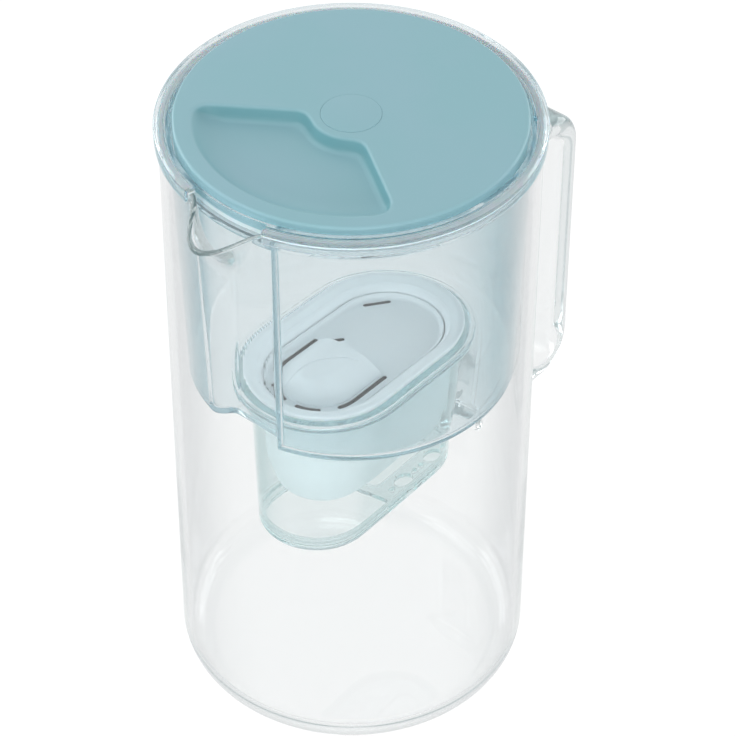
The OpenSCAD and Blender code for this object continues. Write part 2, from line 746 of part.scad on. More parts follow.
// The tapered body of the cartridge, shrunk by the wall for its inside
module cartridge_form(shrink) {
    skin = 0.01;
    levels = [[cart_rim_z, 0, 0], [cart_waist_z, cart_taper_l, cart_taper_w],
        [cart_bottom_z + cart_toe_h, cart_toe_l, cart_toe_w],
        [cart_bottom_z, cart_sole_l, cart_sole_w]];
    hull() {
        for (level = levels) {
            lift = level[0] == cart_rim_z ? 0 : shrink;
            stadium_solid(cart_l - level[1] - 2 * shrink, cart_w - level[2] - 2 * shrink,
                level[0] + lift - skin, skin);
        }
    }
}

// The cup of the cartridge with its shoulder and its outlet slots
module cartridge_cup() {
    slot_count = 7;
    slot_pitch = 6;
    slot_l = 10;
    color(cartridge_colour) difference() {
        union() {
            cartridge_form(0);
            stadium_solid(cart_l + 2 * cart_shoulder_w, cart_w + 2 * cart_shoulder_w,
                shoulder_bottom, cart_shoulder_t);
        }
        difference() {
            cartridge_form(cart_wall);
            stadium_ring(cart_l, cart_w, cart_in_l - 2 * inner_ledge_w, cart_in_w - 2 * inner_ledge_w,
                upper_screen_z - inner_ledge_t, inner_ledge_t);
            for (i = [-2:2]) translate([well_x + i * 1.5 * slot_pitch + slot_pitch, 0, cart_bottom_z])
                translate([-slack / 2, -cart_w / 2, 0])
                    cube([slack, cart_w, lower_screen_z - cart_bottom_z]);
        }
        translate([0, 0, cart_rim_z - slack / 2])
            stadium_solid(cart_in_l, cart_in_w, 0, slack);
        for (i = [0:slot_count - 1])
            translate([well_x + (i - (slot_count - 1) / 2) * slot_pitch, 0, cart_bottom_z - slack])
                cube([slit_w, slot_l, 3 * slack + cart_wall], center = true);
    }
}

// A plate that lies in the cup on its inner ledge, with its underside at a height
module cup_plate(z, t) {
    stadium_solid(cup_in_l(z) - 2 * cap_side_gap, cup_in_w(z) - 2 * cap_side_gap, z, t);
}

// The foot of the grip: round towards the spout, blunt towards the handle
module grip_plan(grow) {
    round_x = grip_start_x + grip_w / 2;
    translate([round_x, 0]) circle(d = grip_w + 2 * grow, $fn = coarse);
    translate([round_x, -grip_w / 2 - grow]) square([grip_end_x - round_x, grip_w + 2 * grow]);
}

// The cap of the cartridge with curved inlet slits around the grip
module cartridge_cap() {
    bridge = 4;
    far_slit_l = 11;
    far_slits = [[2, 12.2], [31, 13.8]];
    color(cartridge_colour) difference() {
        cup_plate(cap_plate_z, cart_cap_t);
        translate([0, 0, cap_plate_z - slack]) linear_extrude(cart_cap_t + 2 * slack)
            difference() {
                grip_plan(slit_gap + slit_w);
                grip_plan(slit_gap);
                translate([grip_end_x - slack, -cart_w / 2]) square([cart_l, cart_w]);
                translate([grip_start_x + grip_l / 2 - bridge / 2, -cart_w]) square([bridge, 2 * cart_w]);
                translate([grip_start_x - cart_l, -bridge / 2]) square([cart_l, bridge]);
            }
        for (place = far_slits) translate([place[0], place[1], cart_cap_z]) rotate([0, 0, -36])
            cube([far_slit_l, slit_w, 2 * cart_cap_t + slack], center = true);
    }
}

// The raised grip by which the cartridge is pulled out
module cartridge_grip() {
    skin = 0.01;
    top_w = 10;
    round_x = grip_start_x + grip_w / 2;
    color(cartridge_colour) hull() {
        translate([0, 0, cart_cap_z]) linear_extrude(1) grip_plan(0);
        translate([0, 0, cart_cap_z + grip_h - skin]) linear_extrude(skin) {
            translate([round_x - 4, 0]) circle(d = top_w, $fn = 32);
            translate([round_x - 4, -top_w / 2]) square([grip_end_x - round_x + 3, top_w]);
        }
        translate([0, 0, cart_cap_z + grip_h * 0.7]) linear_extrude(skin) {
            translate([round_x - 1, 0]) circle(d = grip_w * 0.66, $fn = 32);
            translate([round_x - 1, -grip_w * 0.33]) square([grip_end_x - round_x + 0.5, grip_w * 0.66]);
        }
    }
}

// The soft seal under the shoulder of the cartridge
module cartridge_seal() {
    inset = 0.6;
    color(seal_colour) stadium_ring(cart_l + 2 * cart_shoulder_w - 2 * inset,
        cart_w + 2 * cart_shoulder_w - 2 * inset, cart_l + 2 * inset, cart_w + 2 * inset,
        cart_seal_z, cart_seal_t);
}

// The fine screen under the cap
module upper_screen() {
    color(screen_colour) cup_plate(upper_screen_z, screen_t);
}

// The fine screen above the outlet
module lower_screen() {
    color(screen_colour) stadium_solid(lower_screen_l, lower_screen_w, lower_screen_z, screen_t);
}

// The bed of filter granules, as one closed body
module filter_media() {
    skin = 0.01;
    side_gap = 0.4;
    waist_gap = 1.4;
    bed_l = cart_in_l - 2 * inner_ledge_w - 2 * side_gap;
    bed_w = cart_in_w - 2 * inner_ledge_w - 2 * side_gap;
    color(media_colour) hull() {
        stadium_solid(lower_screen_l, lower_screen_w, lower_screen_z + screen_t, skin);
        stadium_solid(cart_in_l - cart_taper_l - 2 * waist_gap, cart_in_w - cart_taper_w - 2 * waist_gap,
            cart_waist_z, skin);
        stadium_solid(bed_l, bed_w, upper_screen_z - side_gap, skin);
    }
}

glass_jug();
glass_handle();
hopper();
rim_gasket();
hinge_pins();
well_sleeve();
well_base();
lid_shell();
lid_cap();
lid_liner();
lid_seal();
cartridge_cup();
cartridge_cap();
cartridge_grip();
cartridge_seal();
upper_screen();
lower_screen();
filter_media();
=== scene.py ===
"""Looks of a glass water filter pitcher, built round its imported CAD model.

The jug is clear glass with a pulled spout and a fused strap handle. The hopper, the
sleeve and the lid are moulded plastic. Each piece has its own operator, which reads
its sizes and colours from the property groups below.
"""
import math

import bmesh
import bpy
import numpy as np
from bpy.props import FloatProperty, FloatVectorProperty, IntProperty, PointerProperty
from mathutils import Matrix, Vector


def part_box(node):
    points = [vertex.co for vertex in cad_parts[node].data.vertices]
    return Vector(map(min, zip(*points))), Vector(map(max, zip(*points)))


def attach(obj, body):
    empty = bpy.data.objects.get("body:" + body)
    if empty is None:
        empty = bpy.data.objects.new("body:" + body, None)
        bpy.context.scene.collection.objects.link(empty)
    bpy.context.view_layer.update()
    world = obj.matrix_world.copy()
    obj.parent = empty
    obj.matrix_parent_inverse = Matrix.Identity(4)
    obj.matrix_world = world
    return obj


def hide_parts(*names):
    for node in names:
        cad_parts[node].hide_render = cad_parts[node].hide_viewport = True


bl_info = {
    "name": "Water Filter Pitcher",
    "version": (1, 0, 0),
    "blender": (4, 5, 0),
    "location": "3D View > Sidebar > Pitcher",
    "description": "Builds a glass water filter pitcher with a flip lid round its CAD model",
    "category": "Object",
}

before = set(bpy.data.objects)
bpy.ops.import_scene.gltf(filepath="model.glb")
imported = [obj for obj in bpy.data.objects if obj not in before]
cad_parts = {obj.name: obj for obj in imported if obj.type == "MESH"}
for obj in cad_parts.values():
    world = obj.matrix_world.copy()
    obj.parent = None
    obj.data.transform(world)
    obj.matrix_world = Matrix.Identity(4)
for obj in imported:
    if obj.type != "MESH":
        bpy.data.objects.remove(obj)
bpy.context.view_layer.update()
MM = 0.001
MERGE_DISTANCE = 2e-6
NOSE_CUT = 1.15 * MM


def top_of(node):
    """The highest level of a CAD node."""
    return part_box(node)[1].z


def foot_of(node):
    """The lowest level of a CAD node."""
    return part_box(node)[0].z


def length_of(node):
    """The size of a CAD node along the line from spout to handle."""
    low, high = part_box(node)
    return high.x - low.x


def width_of(node):
    """The size of a CAD node across the line from spout to handle."""
    low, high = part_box(node)
    return high.y - low.y


def size(name, default, text):
    """A length that a user may change."""
    return FloatProperty(name=name, description=text, default=default, min=0.0,
                         precision=5, unit="LENGTH")


def angle(name, default, text):
    """An angle that a user may change, given in degrees."""
    return FloatProperty(name=name, description=text, default=math.radians(default),
                         unit="ROTATION")


def share(name, default, text, most=1.0):
    """A plain number that a user may change."""
    return FloatProperty(name=name, description=text, default=default, min=0.0, max=most)


def colour(name, default, text):
    """A colour that a user may change."""
    return FloatVectorProperty(name=name, description=text, default=default, size=3,
                               min=0.0, max=1.0, subtype="COLOR")


class JugSizes(bpy.types.PropertyGroup):
    """Sizes of the blown glass."""
    radius: size("Radius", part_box("glass_jug")[1].x, "Outer radius of the glass")
    height: size("Height", top_of("glass_jug"), "Height of the rim")
    wall: size("Wall", 2.6 * MM, "Thickness of the glass")
    floor: size("Floor", 5 * MM, "Thickness of the glass floor")
    corner: size("Corner", 12 * MM, "Radius of the rounded corner at the base")
    lip_reach: size("Lip reach", 13.5 * MM, "How far the lip stands out from the wall")
    lip_drop: size("Lip drop", 5.5 * MM, "How far the tip of the lip lies below the rim")
    lip_angle: angle("Lip half angle", 15, "Half of the angle that the spout takes from the rim")
    throat: size("Throat", 26 * MM, "Height of the pulled glass under the lip")
    handle_reach: size("Handle reach", 53.5 * MM, "Distance from the wall to the outer face of the handle")
    handle_width: size("Handle width", 26 * MM, "Width of the strap")
    handle_thick: size("Handle thickness", 9 * MM, "Thickness of the strap")
    handle_top: size("Handle top", 199 * MM, "Height of the top of the upper arm")
    handle_foot: size("Handle foot", 68 * MM, "Height of the bottom of the lower arm")
    handle_bend: size("Handle bend", 13 * MM, "Bend radius at the middle of the strap")
    root_fillet: size("Root fillet", 5 * MM, "Length of the fillet where the strap is fused on")
    root_grow: size("Root growth", 2.2 * MM, "How far the strap swells at its root")


class HopperSizes(bpy.types.PropertyGroup):
    """Sizes of the clear hopper and of its rim ring."""
    top_radius: size("Top radius", 64 * MM, "Outer radius of the wall at the shoulder")
    draft: size("Draft", 3 * MM, "Radius that the wall loses down to the floor")
    wall: size("Wall", 1.6 * MM, "Thickness of the wall")
    floor_level: size("Floor level", foot_of("hopper"), "Height of the underside of the floor")
    floor_thick: size("Floor thickness", 2 * MM, "Thickness of the floor")
    corner: size("Corner", 6 * MM, "Outer radius between wall and floor")
    channel_depth: size("Channel depth", 8.5 * MM, "Depth of the pour channel")
    channel_width: size("Channel width", 25 * MM, "Width of the bottom of the channel")
    channel_edge: size("Channel edge", 4 * MM, "Radius of the long edges of the channel")
    shoulder: size("Shoulder", 245 * MM, "Height where the wall turns out to the collar")
    collar_radius: size("Collar radius", 65.1 * MM, "Outer radius of the collar in the glass")
    collar_wall: size("Collar wall", 1.05 * MM, "Thickness of the collar")
    collar_foot: size("Collar foot", 247.5 * MM, "Height of the lower end of the collar")
    flange_level: size("Flange level", 254.5 * MM, "Height of the underside of the flange")
    ring_top: size("Ring top", 256.6 * MM, "Height of the top of the ring")
    ring_radius: size("Ring radius", 69.5 * MM, "Outer radius of the ring")
    skirt_wall: size("Skirt wall", 1.15 * MM, "Thickness of the skirt round the glass")
    skirt_foot: size("Skirt foot", 251.2 * MM, "Height of the lower end of the skirt")
    groove_width: size("Groove width", 1.6 * MM, "Width of the groove in the ring")
    groove_depth: size("Groove depth", 0.9 * MM, "Depth of the groove in the ring")
    gap_angle: angle("Gap half angle", 14.5, "Half of the angle that the ring leaves free at the spout")
    ledge_top: size("Ledge top", 249.5 * MM, "Height of the ledge that carries the lid")
    ledge_thick: size("Ledge thickness", 1.5 * MM, "Thickness of the ledge")
    ledge_width: size("Ledge width", 3 * MM, "Width of the ledge")
    ledge_angle: angle("Ledge half angle", 105, "Half of the angle that the ledge spans")


class LidSizes(bpy.types.PropertyGroup):
    """Sizes of the flip lid."""
    radius: size("Radius", 62.8 * MM, "Radius of the disc")
    top: size("Top", 258.6 * MM, "Height of the top of the disc")
    plate: size("Plate", 2.2 * MM, "Thickness of the disc")
    edge: size("Edge", 2 * MM, "Radius of the rounded edge")
    skirt_foot: size("Skirt foot", 251.5 * MM, "Height of the lower end of the skirt")
    skirt_wall: size("Skirt wall", 1.8 * MM, "Thickness of the skirt")
    skirt_end: size("Skirt end", 30 * MM, "Where the skirt ends towards the handle")
    scoop_depth: size("Scoop depth", 5.5 * MM, "Depth of the finger scoop")
    scoop_floor: size("Scoop floor", 1.8 * MM, "Wall under the floor of the scoop")
    scoop_angle: angle("Scoop half angle", 56, "Half of the angle that the scoop spans")
    scoop_inner: size("Scoop inner radius", 14.3 * MM, "Radius of the notch round the cap")
    scoop_outer: size("Scoop outer radius", 57 * MM, "Radius at which the ramp meets the top")
    scoop_rise: share("Scoop rise", 0.74, "Share of the outer radius at which the ramp begins")
    cap_radius: size("Cap radius", width_of("lid_cap") / 2, "Radius of the centre cap")
    cap_thick: size("Cap thickness", 1.2 * MM, "Depth of the recess of the cap")
    cap_proud: size("Cap proud", 0.12 * MM, "How far the cap stands above the disc")
    hinge_x: size("Hinge distance", 38 * MM, "Distance of the tilt axis from the middle")
    hinge_level: size("Hinge level", 255.4 * MM, "Height of the tilt axis")
    pin_radius: size("Pin radius", 0.9 * MM, "Radius of a hinge pin")
    lug_y: size("Lug place", 38.26 * MM, "Distance of a lug from the middle plane")
    lug_width: size("Lug width", 3 * MM, "Width of a lug or post")
    lug_gap: size("Lug gap", 0.5 * MM, "Gap between a lug and its post")
    rib_count: IntProperty(name="Ribs", description="Number of ribs under the disc", default=6, min=2)


class WellSizes(bpy.types.PropertyGroup):
    """Sizes of the sleeve and of the base of the well."""
    middle_x: size("Middle", 2 * MM, "Distance of the well from the middle of the jug")
    hole_length: size("Opening length", 92 * MM, "Length of the opening in the hopper floor")
    hole_width: size("Opening width", 56 * MM, "Width of the opening in the hopper floor")
    lip_length: size("Lip length", length_of("well_sleeve"), "Length of the lip of the sleeve")
    lip_top: size("Lip top", top_of("well_sleeve"), "Height of the top of the lip")
    wall: size("Wall", 1.6 * MM, "Thickness of the sleeve")
    foot_length: size("Foot length", length_of("well_base"), "Length of the lower end")
    foot_width: size("Foot width", width_of("well_base"), "Width of the lower end")
    foot: size("Foot", foot_of("well_base"), "Height of the lower end")
    base_thick: size("Base thickness", 2.2 * MM, "Thickness of the base plate")
    base_rim: size("Base rim", 4.5 * MM, "Width of the closed rim of the base")
    collar_width: size("Collar width", 1.8 * MM, "Width of the raised collar round the lip")
    collar_height: size("Collar height", 2 * MM, "Height of the raised collar round the lip")
    truss_cell: size("Truss cell", 18 * MM, "Length of one cell of the truss")
    truss_rib: size("Truss rib", 2 * MM, "Width of the ribs of the truss")
    truss_hole: size("Truss hole", 4.3 * MM, "Radius of the round holes of the truss")
    truss_slot: size("Truss slot", 10 * MM, "Width of the open strip between the two rows of cells")


class CartridgeSizes(bpy.types.PropertyGroup):
    """Sizes of the filter cartridge."""
    length: size("Length", 84 * MM, "Length at the rim")
    width: size("Width", 48 * MM, "Width at the rim")
    shoulder: size("Shoulder", 5.5 * MM, "Width of the shoulder")
    shoulder_thick: size("Shoulder thickness", 1.6 * MM, "Thickness of the shoulder")
    wall: size("Wall", 1.5 * MM, "Thickness of the wall")
    rim: size("Rim", top_of("cartridge_cup"), "Height of the rim")
    foot: size("Foot", foot_of("cartridge_cup"), "Height of the sole")
    cap_top: size("Cap top", top_of("cartridge_cap"), "Height of the cap")
    cap_thick: size("Cap thickness", 2 * MM, "Thickness of the cap")
    dish_height: size("Dish height", 2 * MM, "How far the edge of the cap curves up the wall")
    cap_length: size("Cap length", length_of("cartridge_cap"), "Length of the cap")
    cap_width: size("Cap width", width_of("cartridge_cap"), "Width of the cap")
    grip_start: size("Grip start", -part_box("cartridge_grip")[0].x - NOSE_CUT,
                     "Distance of the nose of the grip from the middle")
    grip_length: size("Grip length", length_of("cartridge_grip") - NOSE_CUT, "Length of the grip")
    grip_width: size("Grip width", width_of("cartridge_grip") - 2 * NOSE_CUT, "Width of the foot of the grip")
    grip_top: size("Grip top", top_of("cartridge_grip"), "Height of the crest of the grip")
    slit: size("Slit width", 1.9 * MM, "Width of the inlet slits")
    slit_gap: size("Slit gap", 0.5 * MM, "Gap between the grip and the slit round it")
    slot_pitch: size("Slot pitch", 6 * MM, "Distance between the outlet slots")
    slot_length: size("Slot length", 10 * MM, "Length of an outlet slot")
    slot_count: IntProperty(name="Outlet slots", description="Number of slots in the sole", default=7, min=1)


class PitcherColours(bpy.types.PropertyGroup):
    """Colours of the materials."""
    glass: colour("Glass", (0.985, 0.99, 0.99), "Tint of the glass")
    # Painted shade on the glass where its wall turns away from the view
    glass_turned_shade: colour("Glass turned shade", (0.72, 0.735, 0.745), "Tint of the glass where it turns away")
    glass_body: colour("Glass edge", (0.35, 0.47, 0.48), "Tone of thick glass seen along its wall")
    aqua: colour("Hopper", (0.9, 0.93, 0.94), "Tint of the hopper")
    # Painted shade on the hopper where its wall turns away from the view
    aqua_turned_shade: colour("Hopper turned shade", (0.19, 0.42, 0.49), "Tint of the hopper where it turns away")
    aqua_body: colour("Hopper edge", (0.42, 0.64, 0.7), "Tone of thick aqua plastic seen along its wall")
    sleeve: colour("Sleeve", (0.85, 0.9, 0.905), "Tint of the sleeve")
    # Painted shade on the sleeve where its wall turns away from the view
    sleeve_turned_shade: colour("Sleeve turned shade", (0.48, 0.64, 0.65), "Tint of the sleeve where it turns away")
    sleeve_body: colour("Sleeve edge", (0.5, 0.8, 0.8), "Tone of thick green plastic seen along its wall")
    lid: colour("Lid", (0.288, 0.495, 0.565), "Teal of the lid")
    # Darker teal painted on the steep walls of the scoop to stand for their shade
    lid_scoop_shade: colour("Lid scoop shade", (0.135, 0.36, 0.40), "Teal of the walls of the scoop")
    liner: colour("Liner", (0.62, 0.74, 0.78), "Pale plastic under the lid")
    cartridge: colour("Cartridge", (0.89, 0.94, 0.965), "Pale blue of the cartridge")
    cartridge_shade: colour("Cartridge shade", (0.85, 0.91, 0.94), "Deeper blue of the cartridge")
    silicone: colour("Silicone", (0.78, 0.85, 0.87), "Colour of the seals")
    steel: colour("Steel", (0.66, 0.67, 0.69), "Colour of the pins")
    mesh: colour("Mesh", (0.07, 0.1, 0.11), "Colour of the screens")
    carbon: colour("Carbon", (0.035, 0.035, 0.04), "Colour of the carbon granules")
    resin: colour("Resin", (0.42, 0.36, 0.26), "Colour of the resin beads")


class StageSettings(bpy.types.PropertyGroup):
    """Camera, lamps and floor."""
    camera_place: FloatVectorProperty(name="Camera place", description="Where the camera stands",
                                      default=(-0.65261, -0.55563, 0.91623), subtype="XYZ", unit="LENGTH")
    camera_right: FloatVectorProperty(name="Camera right", description="Direction to the picture's right",
                                      default=(0.64429, -0.76474, 0.00215), subtype="DIRECTION")
    camera_up: FloatVectorProperty(name="Camera up", description="Direction to the picture's top",
                                   default=(0.51297, 0.43426, 0.74045), subtype="DIRECTION")
    lens: FloatProperty(name="Lens", description="Focal length in millimetres", default=150.58)
    floor_size: size("Floor size", 6.0, "Side of the square floor")
    floor_glow: share("Floor glow", 0.8, "How much of its own white the floor shows to the camera")
    floor_white: share("Floor white", 1.1, "Brightness of that white", 2.0)
    sky: share("Sky", 0.7, "Brightness of the room for diffuse light", 2.0)
    bounces: IntProperty(name="Bounces", description="How often light passes or meets a surface",
                         default=28, min=4)
    key: share("Key lamp", 5.4, "Power of the large lamp over the spout side", 100.0)
    fill: share("Side lamps", 11.0, "Power of each of the three low lamps", 100.0)


# Meshes from points and faces


def make_object(name, mesh):
    """An object at the origin that carries the mesh."""
    piece = bpy.data.objects.new(name, mesh)
    bpy.context.scene.collection.objects.link(piece)
    return piece


def solid(name, points, faces, smooth=35):
    """A closed piece from points and faces, with doubles merged and faces outwards."""
    mesh = bpy.data.meshes.new(name)
    mesh.from_pydata([tuple(p) for p in points], [], faces)
    tidy(mesh, smooth)
    return make_object(name, mesh)


def tidy(mesh, smooth=35):
    """Merges doubles, turns the faces outwards and shades the mesh smooth between its edges."""
    work = bmesh.new()
    work.from_mesh(mesh)
    bmesh.ops.remove_doubles(work, verts=work.verts, dist=MERGE_DISTANCE)
    bmesh.ops.dissolve_degenerate(work, edges=work.edges, dist=MERGE_DISTANCE)
    bmesh.ops.recalc_face_normals(work, faces=work.faces)
    work.to_mesh(mesh)
    work.free()
    mesh.shade_smooth()
    mesh.set_sharp_from_angle(angle=math.radians(smooth))


def loft(name, rows, ring=False, smooth=35):
    """A closed piece through rows of points. Each row runs once round; the first and last
    rows are closed by a face, or joined to each other in a ring."""
    rows = np.asarray(rows, float)
    count, around = rows.shape[:2]
    faces = []
    for i in range(count if ring else count - 1):
        low, high = i * around, ((i + 1) % count) * around
        faces += [(low + j, low + (j + 1) % around, high + (j + 1) % around, high + j)
                  for j in range(around)]
    if not ring:
        for row, flip in ((0, 1), (count - 1, -1)):
            if np.ptp(rows[row], axis=0).max() > 1e-6:
                faces.append(tuple(row * around + j for j in range(around))[::-flip])
    return solid(name, rows.reshape(-1, 3), faces, smooth)


def rounded(corners, closed=False, step=15):
    """A plane outline through corners (x, z, radius), each rounded by its radius."""
    out, count = [], len(corners)
    for i, (x, z, radius) in enumerate(corners):
        point = np.array([x, z], float)
        if radius <= 0 or (not closed and i in (0, count - 1)):
            out.append(point)
            continue
        back = np.array(corners[i - 1][:2], float) - point
        ahead = np.array(corners[(i + 1) % count][:2], float) - point
        len_a, len_b = np.linalg.norm(back), np.linalg.norm(ahead)
        back, ahead = back / len_a, ahead / len_b
        half = math.acos(float(np.clip(back @ ahead, -1, 1))) / 2
        if half > math.pi / 2 - 0.01:
            out.append(point)
            continue
        reach = min(radius / math.tan(half), 0.49 * len_a, 0.49 * len_b)
        radius = reach * math.tan(half)
        middle = back + ahead
        centre = point + middle / np.linalg.norm(middle) * radius / math.sin(half)
        start, end = point + back * reach - centre, point + ahead * reach - centre
        a0, a1 = math.atan2(start[1], start[0]), math.atan2(end[1], end[0])
        turn = (a1 - a0 + math.pi) % (2 * math.pi) - math.pi
        steps = max(2, math.ceil(abs(turn) / math.radians(step)))
        out += [centre + radius * np.array([math.cos(a0 + turn * k / steps),
                                            math.sin(a0 + turn * k / steps)])
                for k in range(steps + 1)]
    return np.array(out)


def arc_points(x, y, radius, start, end, count):
    """Points on a round arc in a plane."""
    return [(x + radius * math.cos(a), y + radius * math.sin(a)) for a in np.linspace(start, end, count)]


def turned_row(angles, radius, level):
    """A row of points at the angles, with one radius and level or one for each angle."""
    row = np.empty((len(angles), 3))
    row[:, 0] = radius * np.cos(angles)
    row[:, 1] = radius * np.sin(angles)
    row[:, 2] = level
    return row


def slot_directions(steps=24, side_steps=6):
    """Unit half-circle points and the share of the straight part for a slot outline."""
    arc = np.radians(np.linspace(-90, 90, steps + 1))
    straight = np.linspace(1, -1, side_steps + 1)[1:-1]
    normals = [(math.cos(a), math.sin(a)) for a in arc]
    normals += [(0.0, 1.0)] * len(straight)
    normals += [(-math.cos(a), -math.sin(a)) for a in arc]
    normals += [(0.0, -1.0)] * len(straight)
    shares = [1.0] * len(arc) + list(straight) + [-1.0] * len(arc) + list(-straight)
    return np.array(normals), np.array(shares)


SLOT_NORMALS, SLOT_SHARES = slot_directions()


def slot_row(middle, length, width, level):
    """A row of points round a slot shape of the length and width."""
    row = np.empty((len(SLOT_SHARES), 3))
    row[:, 0] = middle + SLOT_SHARES * (length - width) / 2 + SLOT_NORMALS[:, 0] * width / 2
    row[:, 1] = SLOT_NORMALS[:, 1] * width / 2
    row[:, 2] = level
    return row


def slot_reach(angles, middle, length, width):
    """Distance from the middle of the jug to a slot outline in each direction."""
    row = slot_row(middle, length, width, 0.0)
    turns = np.unwrap(np.arctan2(row[:, 1], row[:, 0]))
    reach = np.hypot(row[:, 0], row[:, 1])
    turns = np.concatenate([turns - 2 * np.pi, turns, turns + 2 * np.pi])
    return np.interp(angles, turns, np.concatenate([reach] * 3))


def prism(name, outline, start, end, edge=0.2 * MM, along="Z"):
    """A prism over a convex outline, with its two end edges rounded."""
    outline = np.asarray(outline, float)
    ahead, back = np.roll(outline, -1, 0) - outline, outline - np.roll(outline, 1, 0)
    ahead /= np.linalg.norm(ahead, axis=1)[:, None]
    back /= np.linalg.norm(back, axis=1)[:, None]
    out = np.stack([ahead[:, 1] + back[:, 1], -ahead[:, 0] - back[:, 0]], 1)
    out /= np.linalg.norm(out, axis=1)[:, None]
    area = np.sum(outline[:, 0] * np.roll(outline[:, 1], -1) - outline[:, 1] * np.roll(outline[:, 0], -1))
    out *= 1 if area > 0 else -1
    rows = []
    for turn in np.radians([90, 60, 30, 0]):
        rows.append((outline - out * edge * (1 - math.cos(turn)), start + edge * (1 - math.sin(turn))))
    for turn in np.radians([0, 30, 60, 90]):
        rows.append((outline - out * edge * (1 - math.cos(turn)), end - edge * (1 - math.sin(turn))))
    order = {"Z": (0, 1, 2), "Y": (0, 2, 1)}[along]
    points = [np.column_stack([flat[:, 0], flat[:, 1], np.full(len(flat), level)])[:, np.argsort(order)]
              for flat, level in rows]
    return loft(name, points)


def both_sides(name, outline, near, far, edge):
    """A prism along Y on each side of the middle plane."""
    return [prism(name, outline, *sorted((side * near, side * far)), edge, "Y") for side in (1, -1)]


def join(name, parts):
    """One object from several."""
    work = bmesh.new()
    for part in parts:
        work.from_mesh(part.data)
    mesh = bpy.data.meshes.new(name)
    work.to_mesh(mesh)
    work.free()
    for part in parts:
        bpy.data.objects.remove(part)
    return make_object(name, mesh)


def baked(piece, name):
    """The evaluated piece as a plain object of its own. The piece itself is removed."""
    ready = piece.evaluated_get(bpy.context.evaluated_depsgraph_get())
    mesh = bpy.data.meshes.new_from_object(ready)
    bpy.data.objects.remove(piece)
    mesh.name = name
    return make_object(name, mesh)


def combine(piece, tool, operation, smooth=35):
    """The piece with the tool added to it or cut out of it."""
    cut = piece.modifiers.new("Combine", "BOOLEAN")
    cut.operation = operation
    cut.solver = "EXACT"
    cut.object = tool
    result = baked(piece, piece.name)
    bpy.data.objects.remove(tool)
    tidy(result.data, smooth)
    return result


def finish_piece(piece, body, material, slot, *nodes):
    """Gives the piece its material and its body, and hides the CAD nodes that it stands for."""
    piece.data.materials.clear()
    piece.data.materials.append(material)
    for polygon in piece.data.polygons:
        polygon.material_index = 0
    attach(piece, body)
    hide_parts(*nodes)
    return piece


# Geometry Nodes


STRAP_EDGE = 0.47
SLOT_EDGE = 0.48
ROOT_CURVE = 2.6
BLUNT_CORNER = 0.3


class Tree:
    """Builds the nodes of a geometry, shader or world tree and links them."""

    def __init__(self, tree):
        self.tree = tree

    def add(self, kind, inputs=None, **settings):
        """A node with its settings, its inputs set or linked."""
        node = self.tree.nodes.new(kind)
        for key, value in settings.items():
            setattr(node, key, value)
        for key, value in (inputs or {}).items():
            self.feed(node.inputs[key], value)
        return node

    def feed(self, socket, value):
        """Links an output to the socket, or sets the socket's own value."""
        if isinstance(value, bpy.types.Node):
            value = value.outputs[0]
        if isinstance(value, bpy.types.NodeSocket):
            self.tree.links.new(value, socket)
        else:
            socket.default_value = value

    def math(self, operation, *values, clamp=False):
        """A sum of numbers or sockets."""
        return self.add("ShaderNodeMath", dict(enumerate(values)), operation=operation,
                        use_clamp=clamp).outputs[0]

    def vector(self, operation, *values):
        """A vector sum. The length of a vector is a number."""
        node = self.add("ShaderNodeVectorMath", dict(enumerate(values)), operation=operation)
        return node.outputs["Value" if operation == "LENGTH" else "Vector"]

    def combine(self, x=0.0, y=0.0, z=0.0):
        """A vector from its three parts."""
        return self.add("ShaderNodeCombineXYZ", {"X": x, "Y": y, "Z": z}).outputs[0]

    def apart(self, vector):
        """The three parts of a vector."""
        return self.add("ShaderNodeSeparateXYZ", {0: vector}).outputs

    def place(self):
        """The place on the object."""
        return self.add("ShaderNodeTexCoord").outputs["Object"]

    def ramp(self, value, low, high, first=0.0, last=1.0, soft=False):
        """A value brought from one span to another and held at its ends."""
        return self.add("ShaderNodeMapRange", {
            "Value": value, "From Min": low, "From Max": high, "To Min": first, "To Max": last},
            interpolation_type="SMOOTHSTEP" if soft else "LINEAR").outputs[0]

    def mix(self, factor, first, last):
        """A blend of two colours."""
        return self.add("ShaderNodeMix", {"Factor": factor, 6: first, 7: last}, data_type="RGBA").outputs[2]

    def noise(self, place, scale, detail, roughness=0.5):
        """Soft random values between 0 and 1."""
        return self.add("ShaderNodeTexNoise", {"Vector": place, "Scale": scale, "Detail": detail,
                                               "Roughness": roughness}).outputs[0]

    def bump(self, height, strength, distance):
        """The surface direction over a height."""
        return self.add("ShaderNodeBump", {"Height": height, "Strength": strength,
                                           "Distance": distance}).outputs[0]

    def join(self, *parts):
        """Several pieces of geometry as one."""
        joined = self.add("GeometryNodeJoinGeometry")
        for part in parts:
            self.feed(joined.inputs[0], part)
        return joined


def geometry_tree(name, sockets):
    """A geometry tree with its named inputs. Returns the tree, its builder and those inputs."""
    tree = bpy.data.node_groups.new(name, "GeometryNodeTree")
    tree.interface.new_socket("Geometry", in_out="OUTPUT", socket_type="NodeSocketGeometry")
    for label, kind in {"Geometry": "Geometry", **sockets, "Material": "Material"}.items():
        tree.interface.new_socket(label, in_out="INPUT", socket_type="NodeSocket" + kind)
    build = Tree(tree)
    return tree, build, build.add("NodeGroupInput").outputs


def close_tree(build, geometry, material):
    """Ends a geometry tree in Realize Instances and Set Material."""
    real = build.add("GeometryNodeRealizeInstances", {"Geometry": geometry})
    done = build.add("GeometryNodeSetMaterial", {"Geometry": real, "Material": material})
    build.add("NodeGroupOutput", {0: done})


